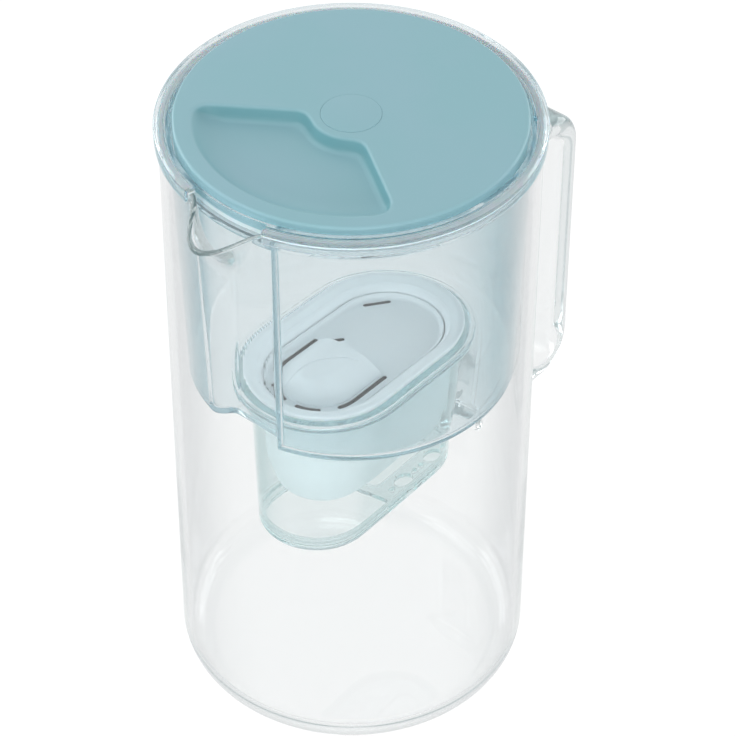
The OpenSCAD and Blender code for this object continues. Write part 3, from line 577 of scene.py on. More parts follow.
def grow(name, tree, values, points=(), edges=()):
    """The plain mesh that a geometry tree makes from its named values."""
    mesh = bpy.data.meshes.new(name + "_seed")
    mesh.from_pydata([tuple(p) for p in points], list(edges), [])
    seed = make_object(name + "_seed", mesh)
    modifier = seed.modifiers.new("Grow", "NODES")
    modifier.node_group = tree
    for item in tree.interface.items_tree:
        if item.in_out == "INPUT" and item.name in values:
            modifier[item.identifier] = values[item.name]
    return baked(seed, name)


def strap_tree():
    """A strap of rounded section along the seed's path, swollen where it meets a round wall."""
    tree, build, given = geometry_tree("Strap", {
        "Width": "Float", "Thickness": "Float", "Wall Radius": "Float",
        "Fillet": "Float", "Growth": "Float"})
    path = build.add("GeometryNodeMeshToCurve", {"Mesh": given["Geometry"]})
    plan = build.add("GeometryNodeCurvePrimitiveQuadrilateral", {
        "Width": given["Width"], "Height": given["Thickness"]})
    edge = build.math("MULTIPLY", given["Thickness"], STRAP_EDGE)
    section = build.add("GeometryNodeFilletCurve", {"Curve": plan, "Radius": edge, "Count": 14}, mode="POLY")
    strap = build.add("GeometryNodeCurveToMesh", {
        "Curve": path, "Profile Curve": section, "Fill Caps": True})
    flat = build.vector("MULTIPLY", build.add("GeometryNodeInputPosition").outputs[0], (1, 1, 0))
    away = build.math("SUBTRACT", build.vector("LENGTH", flat), given["Wall Radius"])
    near = build.math("SUBTRACT", 1.0, build.math("DIVIDE", away, given["Fillet"]), clamp=True)
    swell = build.math("MULTIPLY", build.math("POWER", near, ROOT_CURVE), given["Growth"])
    out = build.add("ShaderNodeVectorMath", {0: build.add("GeometryNodeInputNormal"), "Scale": swell},
                    operation="SCALE")
    close_tree(build, build.add("GeometryNodeSetPosition", {"Geometry": strap, "Offset": out}),
               given["Material"])
    return tree


def bead_tree():
    """A smooth round bead through the seed's path."""
    tree, build, given = geometry_tree("Bead", {"Radius": "Float"})
    path = build.add("GeometryNodeMeshToCurve", {"Mesh": given["Geometry"]})
    soft = build.add("GeometryNodeCurveSplineType", {"Curve": path}, spline_type="CATMULL_ROM")
    fine = build.add("GeometryNodeResampleCurve", {"Curve": soft, "Count": 70})
    section = build.add("GeometryNodeCurvePrimitiveCircle", {"Radius": given["Radius"], "Resolution": 12})
    bead = build.add("GeometryNodeCurveToMesh", {
        "Curve": fine, "Profile Curve": section, "Fill Caps": True})
    close_tree(build, bead, given["Material"])
    return tree


def spoke_tree():
    """Thin upright ribs that run outwards from near the middle over half a turn."""
    tree, build, given = geometry_tree("Spokes", {
        "Count": "Int", "Start": "Float", "Length": "Float", "Thickness": "Float",
        "Height": "Float", "Level": "Float"})
    rib = build.add("GeometryNodeMeshCube", {
        "Size": build.combine(given["Length"], given["Thickness"], given["Height"])})
    half = build.math("MULTIPLY", given["Length"], 0.5)
    shift = build.combine(build.math("ADD", half, given["Start"]), 0.0, given["Level"])
    moved = build.add("GeometryNodeTransform", {"Geometry": rib, "Translation": shift})
    spots = build.add("GeometryNodeMeshLine", {"Count": given["Count"], "Offset": (0, 0, 0)})
    gaps = build.math("SUBTRACT", given["Count"], 1.0)
    step = build.math("DIVIDE", build.add("GeometryNodeInputIndex"), gaps)
    turn = build.math("ADD", build.math("MULTIPLY", step, math.pi), math.pi / 2)
    ribs = build.add("GeometryNodeInstanceOnPoints", {
        "Points": spots, "Instance": moved, "Rotation": build.combine(z=turn)})
    close_tree(build, ribs, given["Material"])
    return tree


def upright_cutter(build, outline, height):
    """A closed block that stands on an outline."""
    face = build.add("GeometryNodeFillCurve", {"Curve": outline}, mode="NGONS")
    block = build.add("GeometryNodeExtrudeMesh", {
        "Mesh": face, "Offset": build.combine(z=height), "Offset Scale": 1.0,
        "Individual": False}, mode="FACES")
    return build.join(block, build.add("GeometryNodeFlipFaces", {"Mesh": face}))


def row_tree():
    """A row of equal upright slots along X, used as a cutter."""
    tree, build, given = geometry_tree("Slot Row", {
        "Count": "Int", "Pitch": "Float", "Middle": "Float", "Length": "Float",
        "Width": "Float", "Height": "Float", "Level": "Float"})
    plan = build.add("GeometryNodeCurvePrimitiveQuadrilateral", {
        "Width": given["Width"], "Height": given["Length"]})
    edge = build.math("MULTIPLY", given["Width"], SLOT_EDGE)
    section = build.add("GeometryNodeFilletCurve", {"Curve": plan, "Radius": edge, "Count": 6}, mode="POLY")
    span = build.math("MULTIPLY", build.math("SUBTRACT", given["Count"], 1.0), given["Pitch"])
    first = build.math("SUBTRACT", given["Middle"], build.math("MULTIPLY", span, 0.5))
    spots = build.add("GeometryNodeMeshLine", {
        "Count": given["Count"], "Start Location": build.combine(first, 0.0, given["Level"]),
        "Offset": build.combine(given["Pitch"])})
    slots = build.add("GeometryNodeInstanceOnPoints", {
        "Points": spots, "Instance": upright_cutter(build, section, given["Height"])})
    close_tree(build, slots, given["Material"])
    return tree


def cell_tree():
    """Truss cells on the seed's points: a round hole with four rounded triangles beside it,
    as upright cutters."""
    tree, build, given = geometry_tree("Truss Cells", {
        "Hole": "Float", "Side Reach": "Float", "Cross Reach": "Float", "Side Size": "Float",
        "Cross Size": "Float", "Height": "Float"})
    parts = [build.add("GeometryNodeCurvePrimitiveCircle", {"Radius": given["Hole"], "Resolution": 40})]
    for turn, kind in ((0, "Side"), (math.pi, "Side"), (math.pi / 2, "Cross"), (-math.pi / 2, "Cross")):
        reach, wide = given[kind + " Reach"], given[kind + " Size"]
        corner = build.add("GeometryNodeCurvePrimitiveCircle", {"Radius": wide, "Resolution": 3})
        blunt = build.add("GeometryNodeFilletCurve", {
            "Curve": corner, "Radius": build.math("MULTIPLY", wide, BLUNT_CORNER), "Count": 5}, mode="POLY")
        away = build.combine(build.math("MULTIPLY", reach, math.cos(turn)),
                             build.math("MULTIPLY", reach, math.sin(turn)))
        parts.append(build.add("GeometryNodeTransform", {
            "Geometry": blunt, "Translation": away, "Rotation": (0, 0, turn + math.pi)}))
    cells = build.add("GeometryNodeInstanceOnPoints", {
        "Points": given["Geometry"],
        "Instance": upright_cutter(build, build.join(*parts), given["Height"])})
    close_tree(build, cells, given["Material"])
    return tree


# Shader groups that more than one material uses


DRIFT_SCALE = 22.0
RUB_SCALE = 180.0
CONVEX_FROM, CONVEX_TO = 0.515, 0.57


def shader_group(name, inputs, outputs):
    """A shader node group with its builder, its named inputs and its end node."""
    tree = bpy.data.node_groups.new(name, "ShaderNodeTree")
    for label, (kind, default) in inputs.items():
        socket = tree.interface.new_socket(label, in_out="INPUT", socket_type="NodeSocket" + kind)
        socket.default_value = default
    for label, kind in outputs.items():
        tree.interface.new_socket(label, in_out="OUTPUT", socket_type="NodeSocket" + kind)
    build = Tree(tree)
    return tree, build, build.add("NodeGroupInput").outputs, build.add("NodeGroupOutput")


def moulded_group():
    """Moulded plastic: slow drifts of colour, a fine eroded grain and its roughness."""
    tree, build, given, out = shader_group("Moulded Plastic", {
        "Colour": ("Color", (0.5, 0.5, 0.5, 1)), "Shade": ("Color", (0.4, 0.4, 0.4, 1)),
        "Drift": ("Float", 0.5), "Grain Scale": ("Float", 2500.0), "Roughness": ("Float", 0.4),
        "Roughness Spread": ("Float", 0.08)}, {"Colour": "Color", "Roughness": "Float", "Height": "Float"})
    place = build.place()
    slow = build.noise(place, DRIFT_SCALE, 3.0)
    amount = build.math("MULTIPLY", build.ramp(slow, 0.35, 0.65), given["Drift"])
    build.feed(out.inputs["Colour"], build.mix(amount, given["Colour"], given["Shade"]))
    build.feed(out.inputs["Roughness"], build.math("MULTIPLY_ADD", slow, given["Roughness Spread"],
                                                   given["Roughness"]))
    build.feed(out.inputs["Height"], build.noise(place, given["Grain Scale"], 2.0, 0.6))
    return tree


def smudge_group():
    """Clear walls: a faint film that roughens the gloss in soft patches, and slow waves."""
    tree, build, given, out = shader_group("Clear Wall", {
        "Gloss": ("Float", 0.01), "Film": ("Float", 0.03), "Film Scale": ("Float", 30.0),
        "Wave Scale": ("Float", 14.0)}, {"Roughness": "Float", "Height": "Float"})
    place = build.place()
    patch = build.ramp(build.noise(place, given["Film Scale"], 4.0, 0.55), 0.5, 0.75)
    squeezed = build.vector("MULTIPLY", place, (1.0, 1.0, 0.25))
    build.feed(out.inputs["Roughness"], build.math("MULTIPLY_ADD", patch, given["Film"], given["Gloss"]))
    build.feed(out.inputs["Height"], build.noise(squeezed, given["Wave Scale"], 1.0, 0.4))
    return tree


def rubbed_group():
    """Rubbed edges: where a piece is most convex, its colour is lighter and its gloss higher."""
    tree, build, given, out = shader_group("Rubbed Edge", {
        "Colour": ("Color", (0.5, 0.5, 0.5, 1)), "Rubbed": ("Color", (0.7, 0.7, 0.7, 1)),
        "Amount": ("Float", 0.4), "Roughness": ("Float", 0.4), "Rubbed Roughness": ("Float", 0.25)},
        {"Colour": "Color", "Roughness": "Float"})
    convex = build.add("ShaderNodeNewGeometry").outputs["Pointiness"]
    edge = build.ramp(convex, CONVEX_FROM, CONVEX_TO)
    broken = build.math("MULTIPLY", edge, build.noise(build.place(), RUB_SCALE, 3.0))
    amount = build.math("MULTIPLY", broken, given["Amount"], clamp=True)
    build.feed(out.inputs["Colour"], build.mix(amount, given["Colour"], given["Rubbed"]))
    build.feed(out.inputs["Roughness"], build.add("ShaderNodeMix", {
        "Factor": amount, 2: given["Roughness"], 3: given["Rubbed Roughness"]}, data_type="FLOAT"))
    return tree


def shared(name, maker):
    """The node group of the name, made on its first use."""
    return bpy.data.node_groups.get(name) or maker()


# Materials


GRAIN_HEIGHT = 0.05 * MM
WAVE_HEIGHT = 0.3 * MM
# Facing span over which clear walls take their painted shade
TURNED_SHADE_FROM, TURNED_SHADE_TO = 0.42, 0.78
# Near-black painted as shade on the walls of openings
OPENING_SHADE_TONE = (0.05, 0.07, 0.08, 1)
LID_SHADE = (0.93, 1.0, 0.97)
# Share of the painted shade that darkens the steep walls of the scoop
SCOOP_SHADE_SHARE = 0.75
RUBBED_BLUE = (0.9, 0.94, 0.96)
GRINDING_SCALE = (300.0, 9000.0, 300.0)
MESH_PITCH = 0.5 * MM
DUST_SCALE = 90.0
GRANULE_SCALE = 900.0
RESIN_ABOVE = 0.68


def start_material(name):
    """The material of the name, with a builder, a surface shader and an end where it is new."""
    material = bpy.data.materials.get(name)
    if material:
        return material, None, None, None
    material = bpy.data.materials.new(name)
    material.use_nodes = True
    material.node_tree.nodes.clear()
    build = Tree(material.node_tree)
    return material, build, build.add("ShaderNodeBsdfPrincipled"), build.add("ShaderNodeOutputMaterial")


def dress(build, surface, tone, gloss, bulge, more=None):
    """Feeds colour, roughness, normal and further values to the surface shader."""
    values = {"Base Color": tone, "Roughness": gloss, "Normal": bulge, **(more or {})}
    for key, value in values.items():
        build.feed(surface.inputs[key], value)


def rgba(value, part=1.0):
    """A colour with full alpha, or a darker part of it."""
    return (*(v * part for v in value), 1.0)


def plastic_look(build, base, shade, drift, grain, rough):
    """The moulded look with its values."""
    return build.add("ShaderNodeGroup", {
        "Colour": base, "Shade": shade, "Drift": drift, "Grain Scale": grain, "Roughness": rough},
        node_tree=shared("Moulded Plastic", moulded_group)).outputs


def moulded_material(name, base, shade, rough, grain=2500.0, bump=0.15, drift=0.6, rubbed=None,
                     amount=0.35, shade_below=None):
    """Opaque satin plastic; where a level is given, all below it is painted near-black as shade in the
    openings.
    """
    material, build, surface, out = start_material(name)
    if build is None:
        return material
    look = plastic_look(build, rgba(base), rgba(shade), drift, grain, rough)
    tone, gloss = look["Colour"], look["Roughness"]
    if rubbed is not None:
        edge = build.add("ShaderNodeGroup", {
            "Colour": tone, "Rubbed": rgba(rubbed), "Amount": amount, "Roughness": gloss,
            "Rubbed Roughness": rough * 0.7}, node_tree=shared("Rubbed Edge", rubbed_group)).outputs
        tone, gloss = edge["Colour"], edge["Roughness"]
    if shade_below is not None:
        # Painted shade: below the level the colour turns near-black
        level = build.apart(build.place())["Z"]
        below = build.ramp(level, shade_below - 0.5 * MM, shade_below - 0.1 * MM, 1.0, 0.0)
        tone = build.mix(below, tone, OPENING_SHADE_TONE)
    dress(build, surface, tone, gloss, build.bump(look["Height"], bump, GRAIN_HEIGHT))
    build.feed(out.inputs["Surface"], surface)
    return material


def clear_material(name, tint, turned_shade, body, density, index, gloss, film, wave, walls, let_through):
    """Clear glass or plastic, with painted shade where a wall turns away from the view. Lamp light
    passes straight through it, so that it throws a pale shadow, and so does light that has met many walls
    before, so that no edge turns black."""
    material, build, surface, out = start_material(name)
    if build is None:
        return material
    wall = build.add("ShaderNodeGroup", {"Gloss": gloss, "Film": film},
                     node_tree=shared("Clear Wall", smudge_group))
    # Painted shade: the tint darkens towards the turned shade where the wall turns away from the view
    facing = build.add("ShaderNodeLayerWeight", {"Blend": 0.5}).outputs["Facing"]
    aside = build.ramp(facing, TURNED_SHADE_FROM, TURNED_SHADE_TO, soft=True)
    tone = build.mix(aside, rgba(tint), rgba(turned_shade))
    dress(build, surface, tone, wall.outputs["Roughness"],
          build.bump(wall.outputs["Height"], wave, WAVE_HEIGHT), {"Transmission Weight": 1.0, "IOR": index})
    through = build.add("ShaderNodeBsdfTransparent", {"Color": rgba(let_through)})
    path = build.add("ShaderNodeLightPath").outputs
    late = build.math("GREATER_THAN", path["Ray Depth"], walls + 0.5)
    straight = build.math("MAXIMUM", path["Is Shadow Ray"], late)
    build.feed(out.inputs["Surface"], build.add("ShaderNodeMixShader", {0: straight, 1: surface, 2: through}))
    build.feed(out.inputs["Volume"], build.add("ShaderNodeVolumeAbsorption", {
        "Color": rgba(body), "Density": density}))
    return material


def glass_material():
    """The clear blown glass of the jug and the handle."""
    tones = bpy.context.scene.pitcher_colours
    return clear_material("Blown Glass", tones.glass, tones.glass_turned_shade, tones.glass_body, density=8.0,
                          index=1.47, gloss=0.0, film=0.015, wave=0.06, walls=22,
                          let_through=(0.99, 0.994, 0.994))


def aqua_material():
    """The clear aqua plastic of the hopper."""
    tones = bpy.context.scene.pitcher_colours
    return clear_material("Aqua Clear Plastic", tones.aqua, tones.aqua_turned_shade, tones.aqua_body,
                          density=30.0, index=1.42, gloss=0.01, film=0.03, wave=0.05, walls=13,
                          let_through=(0.98, 0.99, 0.993))


def sleeve_material():
    """The clear green plastic of the sleeve and its base."""
    tones = bpy.context.scene.pitcher_colours
    return clear_material("Green Clear Plastic", tones.sleeve, tones.sleeve_turned_shade, tones.sleeve_body,
                          density=30.0, index=1.42, gloss=0.015, film=0.04, wave=0.05, walls=13,
                          let_through=(0.98, 0.993, 0.99))


def lid_material():
    """The teal satin plastic of the lid, with painted shade: a darker teal on the steep walls of the scoop.
    """
    tones = bpy.context.scene.pitcher_colours
    lid = bpy.context.scene.pitcher_lid
    material, build, surface, out = start_material("Teal Satin Plastic")
    if build is None:
        return material
    coordinates = build.add("ShaderNodeTexCoord").outputs
    level = build.apart(coordinates["Object"])["Z"]
    # Painted shade: steep faces inside the scoop, below the top of the lid, darken towards the scoop shade
    # colour
    below = build.ramp(level, lid.top - 1.2 * MM, lid.top - 0.2 * MM, 1.0, 0.0)
    steep = build.ramp(build.apart(coordinates["Normal"])["Z"], 0.55, 0.985, 1.0, 0.0)
    flat = build.vector("MULTIPLY", coordinates["Object"], (1, 1, 0))
    within = build.math("LESS_THAN", build.vector("LENGTH", flat), lid.scoop_outer + 1 * MM)
    deep = build.math("MULTIPLY", build.math("MULTIPLY", below, steep, clamp=True), within)
    shade = rgba(tone * part for tone, part in zip(tones.lid, LID_SHADE))
    look = plastic_look(build, rgba(tones.lid), shade, 0.9, 2200.0, 0.42)
    tone = build.mix(build.math("MULTIPLY", deep, SCOOP_SHADE_SHARE), look["Colour"], rgba(tones.lid_scoop_shade))
    dress(build, surface, tone, look["Roughness"], build.bump(look["Height"], 0.12, GRAIN_HEIGHT))
    build.feed(out.inputs["Surface"], surface)
    return material


def cartridge_material(shade_below=None):
    """The pale blue satin plastic of the cartridge, with painted shade below a level where one is given."""
    tones = bpy.context.scene.pitcher_colours
    name = "Pale Blue Plastic" if shade_below is None else "Slit Shaded Blue Plastic"
    return moulded_material(name, tones.cartridge, tones.cartridge_shade, 0.36, drift=0.5,
                            rubbed=RUBBED_BLUE, amount=0.3, shade_below=shade_below)


def silicone_material():
    """Soft translucent seals: matt, with fine dust and a faint sheen."""
    tones = bpy.context.scene.pitcher_colours
    material, build, surface, out = start_material("Silicone")
    if build is None:
        return material
    look = plastic_look(build, rgba(tones.silicone), rgba(tones.silicone, 0.88), 0.7, 900.0, 0.55)
    dress(build, surface, look["Colour"], look["Roughness"], build.bump(look["Height"], 0.25, GRAIN_HEIGHT),
          {"Sheen Weight": 0.2, "Subsurface Weight": 0.3, "Subsurface Scale": 2 * MM})
    build.feed(out.inputs["Surface"], surface)
    return material


def steel_material():
    """Ground stainless steel, with fine rings round the pin."""
    tones = bpy.context.scene.pitcher_colours
    material, build, surface, out = start_material("Ground Steel")
    if build is None:
        return material
    stretched = build.vector("MULTIPLY", build.place(), GRINDING_SCALE)
    rings = build.noise(stretched, 1.0, 3.0)
    tone = build.mix(rings, rgba(tones.steel, 0.85), rgba(tones.steel))
    dress(build, surface, tone, build.ramp(rings, 0.0, 1.0, 0.22, 0.4),
          build.bump(rings, 0.2, 0.02 * MM), {"Metallic": 1.0})
    build.feed(out.inputs["Surface"], surface)
    return material


def screen_material():
    """Fine woven mesh: two crossed sets of threads with dark openings."""
    tones = bpy.context.scene.pitcher_colours
    material, build, surface, out = start_material("Woven Mesh")
    if build is None:
        return material
    place = build.place()
    apart = build.apart(place)
    turns = [build.math("MULTIPLY", apart[axis], math.pi / MESH_PITCH) for axis in ("X", "Y")]
    thread = build.math("MAXIMUM", *(build.math("ABSOLUTE", build.math("SINE", turn)) for turn in turns))
    tone = build.mix(build.ramp(thread, 0.55, 0.85), rgba(tones.mesh, 0.35), rgba(tones.mesh))
    dust = build.noise(place, DUST_SCALE, 4.0)
    dress(build, surface, tone, build.ramp(dust, 0.0, 1.0, 0.45, 0.75), build.bump(thread, 0.6, 0.1 * MM))
    build.feed(out.inputs["Surface"], surface)
    return material


def media_material():
    """A packed bed: dark carbon granules with paler resin beads among them."""
    tones = bpy.context.scene.pitcher_colours
    material, build, surface, out = start_material("Packed Granules")
    if build is None:
        return material
    grains = build.add("ShaderNodeTexVoronoi", {"Vector": build.place(), "Scale": GRANULE_SCALE}).outputs
    kind = build.add("ShaderNodeSeparateColor", {0: grains["Color"]})
    resin = build.math("GREATER_THAN", kind.outputs[0], RESIN_ABOVE)
    height = build.math("SUBTRACT", 1.0, grains["Distance"])
    dress(build, surface, build.mix(resin, rgba(tones.carbon), rgba(tones.resin)),
          build.ramp(resin, 0.0, 1.0, 0.8, 0.35), build.bump(height, 0.9, 0.4 * MM))
    build.feed(out.inputs["Surface"], surface)
    return material


# The glass


LIP_CURVE = 2.4
ROOT_DEPTH = 2.1 * MM


def turn_angles(dense_from, dense_to, dense, sparse):
    """Angles round the axis, closer together on the spout side."""
    spout = np.arange(dense_from, dense_to, dense)
    rest = np.arange(dense_to, dense_from + 360, sparse)
    return np.radians(np.concatenate([spout, rest]))


def off_spout(angles):
    """How far each angle lies from the middle of the spout."""
    return np.abs(angles % (2 * np.pi) - np.pi)


def jug_body():
    """The blown jug with its pulled spout, one closed wall inside and outside."""
    jug = bpy.context.scene.pitcher_jug
    angles = turn_angles(162, 198, 0.5, 1.0)
    off = off_spout(angles)
    pull = np.where(off < jug.lip_angle, (1 + np.cos(np.pi * np.minimum(off / jug.lip_angle, 1))) / 2, 0)
    top = jug.height - jug.lip_drop * pull - jug.wall / 2
    throat = jug.height - jug.throat
    inner = jug.corner - jug.wall
    rows = [turned_row(angles, 0.0, 0.0)]
    for turn in np.radians(np.linspace(-90, 0, 17)):
        rows.append(turned_row(angles, jug.radius - jug.corner + jug.corner * math.cos(turn),
                               jug.corner + jug.corner * math.sin(turn)))
    rise = np.linspace(0, 1, 27)
    outside = [(jug.radius + jug.lip_reach * pull * v ** LIP_CURVE, throat + v * (top - throat))
               for v in rise]
    rows += [turned_row(angles, r, z) for r, z in outside]
    for turn in np.radians(np.linspace(15, 165, 11)):
        rows.append(turned_row(angles, jug.radius + jug.lip_reach * pull - jug.wall / 2
                               + jug.wall / 2 * math.cos(turn), top + jug.wall / 2 * math.sin(turn)))
    rows += [turned_row(angles, r - jug.wall, z) for r, z in outside[::-1]]
    for turn in np.radians(np.linspace(0, -90, 15)):
        rows.append(turned_row(angles, jug.radius - jug.wall - inner + inner * math.cos(turn),
                               jug.floor + inner + inner * math.sin(turn)))
    rows.append(turned_row(angles, 0.0, jug.floor))
    return loft("jug_glass", rows, smooth=50)


def handle_path():
    """The middle line of the strap, from inside the wall round its two bends and back."""
    jug = bpy.context.scene.pitcher_jug
    high = jug.handle_top - jug.handle_thick / 2
    low = jug.handle_foot + jug.handle_thick / 2
    bar = jug.radius + jug.handle_reach - jug.handle_thick / 2
    bend = jug.handle_bend
    start, root_end = jug.radius - ROOT_DEPTH, jug.radius + 6 * MM
    near = np.concatenate([np.arange(start, root_end, 0.35 * MM),
                           np.arange(root_end, bar - bend - 1 * MM, 4 * MM)])
    points = [(x, 0, high) for x in near]
    points += [(x, 0, z) for x, z in arc_points(bar - bend, high - bend, bend, math.pi / 2, 0, 19)]
    points += [(bar, 0, level) for level in np.linspace(high - bend, low + bend, 14)[1:-1]]
    points += [(x, 0, z) for x, z in arc_points(bar - bend, low + bend, bend, 0, -math.pi / 2, 19)]
    points += [(x, 0, low) for x in near[::-1]]
    return points


class PITCHER_OT_glass(bpy.types.Operator):
    """Blow the glass jug with its spout and fuse the strap handle to it"""
    bl_idname = "pitcher.glass"
    bl_label = "Glass Jug and Handle"

    def execute(self, context):
        jug = context.scene.pitcher_jug
        body = jug_body()
        path = handle_path()
        strap = grow("strap", strap_tree(), {
            "Width": jug.handle_width, "Thickness": jug.handle_thick, "Wall Radius": jug.radius,
            "Fillet": jug.root_fillet, "Growth": jug.root_grow, "Material": glass_material()},
            path, [(i, i + 1) for i in range(len(path) - 1)])
        tidy(strap.data, 50)
        glass = combine(body, strap, "UNION", 50)
        finish_piece(glass, "jug", glass_material(), "glass", "glass_jug", "glass_handle")
        return {"FINISHED"}


# The hopper


CHANNEL_MOUTH = 68 * MM
CHANNEL_FLANK = 26 * MM
CHANNEL_BLEND = 3 * MM
NO_CHANNEL = 1.0
COLLAR_STEP = 0.55 * MM


def channel_reach(off, grow_by):
    """Distance from the middle to the front of the pour channel in each direction."""
    hop = bpy.context.scene.pitcher_hopper
    inner_x = hop.top_radius - hop.draft - hop.channel_depth
    edge = hop.channel_edge + grow_by
    first = np.array([inner_x + hop.channel_edge, hop.channel_width / 2 - hop.channel_edge])
    last = np.array([CHANNEL_MOUTH, hop.channel_width / 2 + hop.channel_edge])
    side = (last - first) / np.linalg.norm(last - first)
    normal = np.array([-side[1], side[0]])
    stop = math.atan2(normal[1], -normal[0])
    arc = [first + edge * np.array([-math.cos(a), math.sin(a)]) for a in np.linspace(0, stop, 12)]
    flat = [np.array([first[0] - edge, y]) for y in np.linspace(0, first[1], 8)[:-1]]
    line = [arc[-1] + side * d for d in np.linspace(0, CHANNEL_FLANK, 40)[1:]]
    outline = np.array(flat + arc + line)
    turns = np.arctan2(outline[:, 1], outline[:, 0])
    reach = np.hypot(outline[:, 0], outline[:, 1])
    return np.interp(off, turns, reach, right=NO_CHANNEL)


def soft_min(a, b, blend):
    """The smaller of two fields, rounded where they meet."""
    share_of = np.clip(0.5 + 0.5 * (b - a) / blend, 0, 1)
    return b + (a - b) * share_of - blend * share_of * (1 - share_of)


def hopper_shell():
    """Wall, floor, collar and full ring as one closed surface, with the pour channel in it."""
    hop = bpy.context.scene.pitcher_hopper
    well = bpy.context.scene.pitcher_well
    angles = turn_angles(158, 202, 0.25, 1.25)
    off = off_spout(angles)
    outer_notch, inner_notch = channel_reach(off, 0.0), channel_reach(off, hop.wall)
    floor_top = hop.floor_level + hop.floor_thick
    inner_corner = hop.corner - hop.wall
    foot = hop.top_radius - hop.draft
    channel_top = hop.shoulder + 1.25 * MM
    ledge = off <= hop.ledge_angle

    def slot(extra, level):
        return turned_row(angles, slot_reach(angles, well.middle_x, well.hole_length + extra,
                                             well.hole_width + extra), level)

    def plain(radius, level):
        return turned_row(angles, radius, level)

    def notched(radius, level, notch):
        return turned_row(angles, soft_min(np.full(len(angles), radius), notch, CHANNEL_BLEND), level)

    lip = well.lip_length - well.hole_length + WELL_GAP
    wide, high = well.collar_width, well.collar_height
    rows = [slot(0.3 * MM, floor_top), slot(lip, floor_top)]
    rows += [slot(lip + 2 * x, floor_top + z) for x, z in rounded([
        (0, 0.3 * MM, 0), (0, high, 0.5 * MM), (wide, high, 0.5 * MM), (wide, 0, 0.8 * MM),
        (3 * MM, 0, 0)], step=25)[:-1]]
    inside = rounded([(foot - hop.wall - inner_corner - 2 * MM, floor_top, 0),
                      (foot - hop.wall, floor_top, inner_corner),
                      (hop.top_radius - hop.wall, hop.shoulder, 0)], step=9)[1:]
    rows += [notched(r, z, inner_notch) for r, z in inside]
    collar_in = hop.collar_radius - hop.collar_wall
    rows += [notched(collar_in - COLLAR_STEP, channel_top + hop.wall, inner_notch),
             plain(collar_in - COLLAR_STEP, channel_top + hop.wall + 0.05 * MM)]
    rows += [plain(collar_in - 0.45 * MM, hop.ledge_top - hop.ledge_thick)]
    for inwards, level in ((hop.ledge_width, -hop.ledge_thick), (hop.ledge_width, 0)):
        rows.append(plain(np.where(ledge, collar_in - inwards, collar_in - (0.45 * MM if level else 0)),
                          hop.ledge_top + level))
    rows.append(plain(collar_in, hop.ledge_top))
    skirt_in = hop.ring_radius - hop.skirt_wall
    middle = (collar_in + hop.ring_radius) / 2
    groove_in, groove_out = middle - hop.groove_width / 2, middle + hop.groove_width / 2
    dip = hop.ring_top - hop.groove_depth
    ring = rounded([
        (collar_in, hop.ledge_top + 1 * MM, 0), (collar_in, hop.ring_top, 0.35 * MM),
        (groove_in, hop.ring_top, 0.3 * MM), (groove_in, dip, 0.35 * MM), (groove_out, dip, 0.35 * MM),
        (groove_out, hop.ring_top, 0.3 * MM), (hop.ring_radius, hop.ring_top, 0.9 * MM),
        (hop.ring_radius, hop.skirt_foot, 0.4 * MM), (skirt_in, hop.skirt_foot, 0.4 * MM),
        (skirt_in, hop.flange_level, 0.2 * MM), (hop.collar_radius, hop.flange_level, 0.2 * MM),
        (hop.collar_radius, hop.collar_foot, 0.6 * MM),
        (hop.top_radius + COLLAR_STEP, channel_top, 0)], step=18)
    rows += [plain(r, z) for r, z in ring]
    outside = rounded([(hop.top_radius, hop.shoulder, 0), (foot, hop.floor_level, hop.corner),
                       (foot - hop.corner - 2 * MM, hop.floor_level, 0)], step=9)[:-1]
    rows.append(notched(hop.top_radius + COLLAR_STEP, channel_top - 0.02 * MM, outer_notch))
    rows += [notched(r, z, outer_notch) for r, z in outside]
    rows += [slot(0.3 * MM, hop.floor_level), slot(0, hop.floor_level + 0.2 * MM),
             slot(0, floor_top - 0.2 * MM)]
    return loft("hopper_clear", rows, ring=True, smooth=40)


def hopper_posts():
    """The two posts that hold the hinge pins, each tied to the wall by a web."""
    lid = bpy.context.scene.pitcher_lid
    hop = bpy.context.scene.pitcher_hopper
    eye = lid.pin_radius + 0.8 * MM
    foot_x, foot_z, web = lid.hinge_x - 5 * MM, lid.hinge_level - 11 * MM, 2 * MM
    lean = math.atan2(lid.hinge_level - foot_z, lid.hinge_x - foot_x)
    aside = lean + math.pi / 2
    outline = arc_points(lid.hinge_x, lid.hinge_level, eye, aside - math.pi, aside, 14)
    outline += arc_points(foot_x, foot_z, web, aside, aside + math.pi, 14)
    post_y = lid.lug_y + lid.lug_width + lid.lug_gap
    web_end = math.sqrt((hop.top_radius - hop.wall / 2) ** 2 - (foot_x + web) ** 2)
    half, corner = web - 0.02 * MM, web * 0.4
    plate = rounded([(foot_x + side * half, level, corner) for side, level in (
        (-1, foot_z - 8 * MM), (1, foot_z - 8 * MM), (1, foot_z), (-1, foot_z))], True)
    return (both_sides("post", outline, post_y, post_y + lid.lug_width, 0.3 * MM)
            + both_sides("web", plate, post_y + 0.4 * MM, web_end, 0.2 * MM))


def sector(name, inner, outer, low, high, start, end, steps=48):
    """A block between two radii, two levels and two angles."""
    angles = np.linspace(start, end, steps + 1)
    rows = []
    for radius, level in ((inner, low), (outer, low), (outer, high), (inner, high)):
        rows.append(turned_row(angles, radius, level))
    rows = np.array(rows).transpose(1, 0, 2)
    return loft(name, rows, smooth=30)


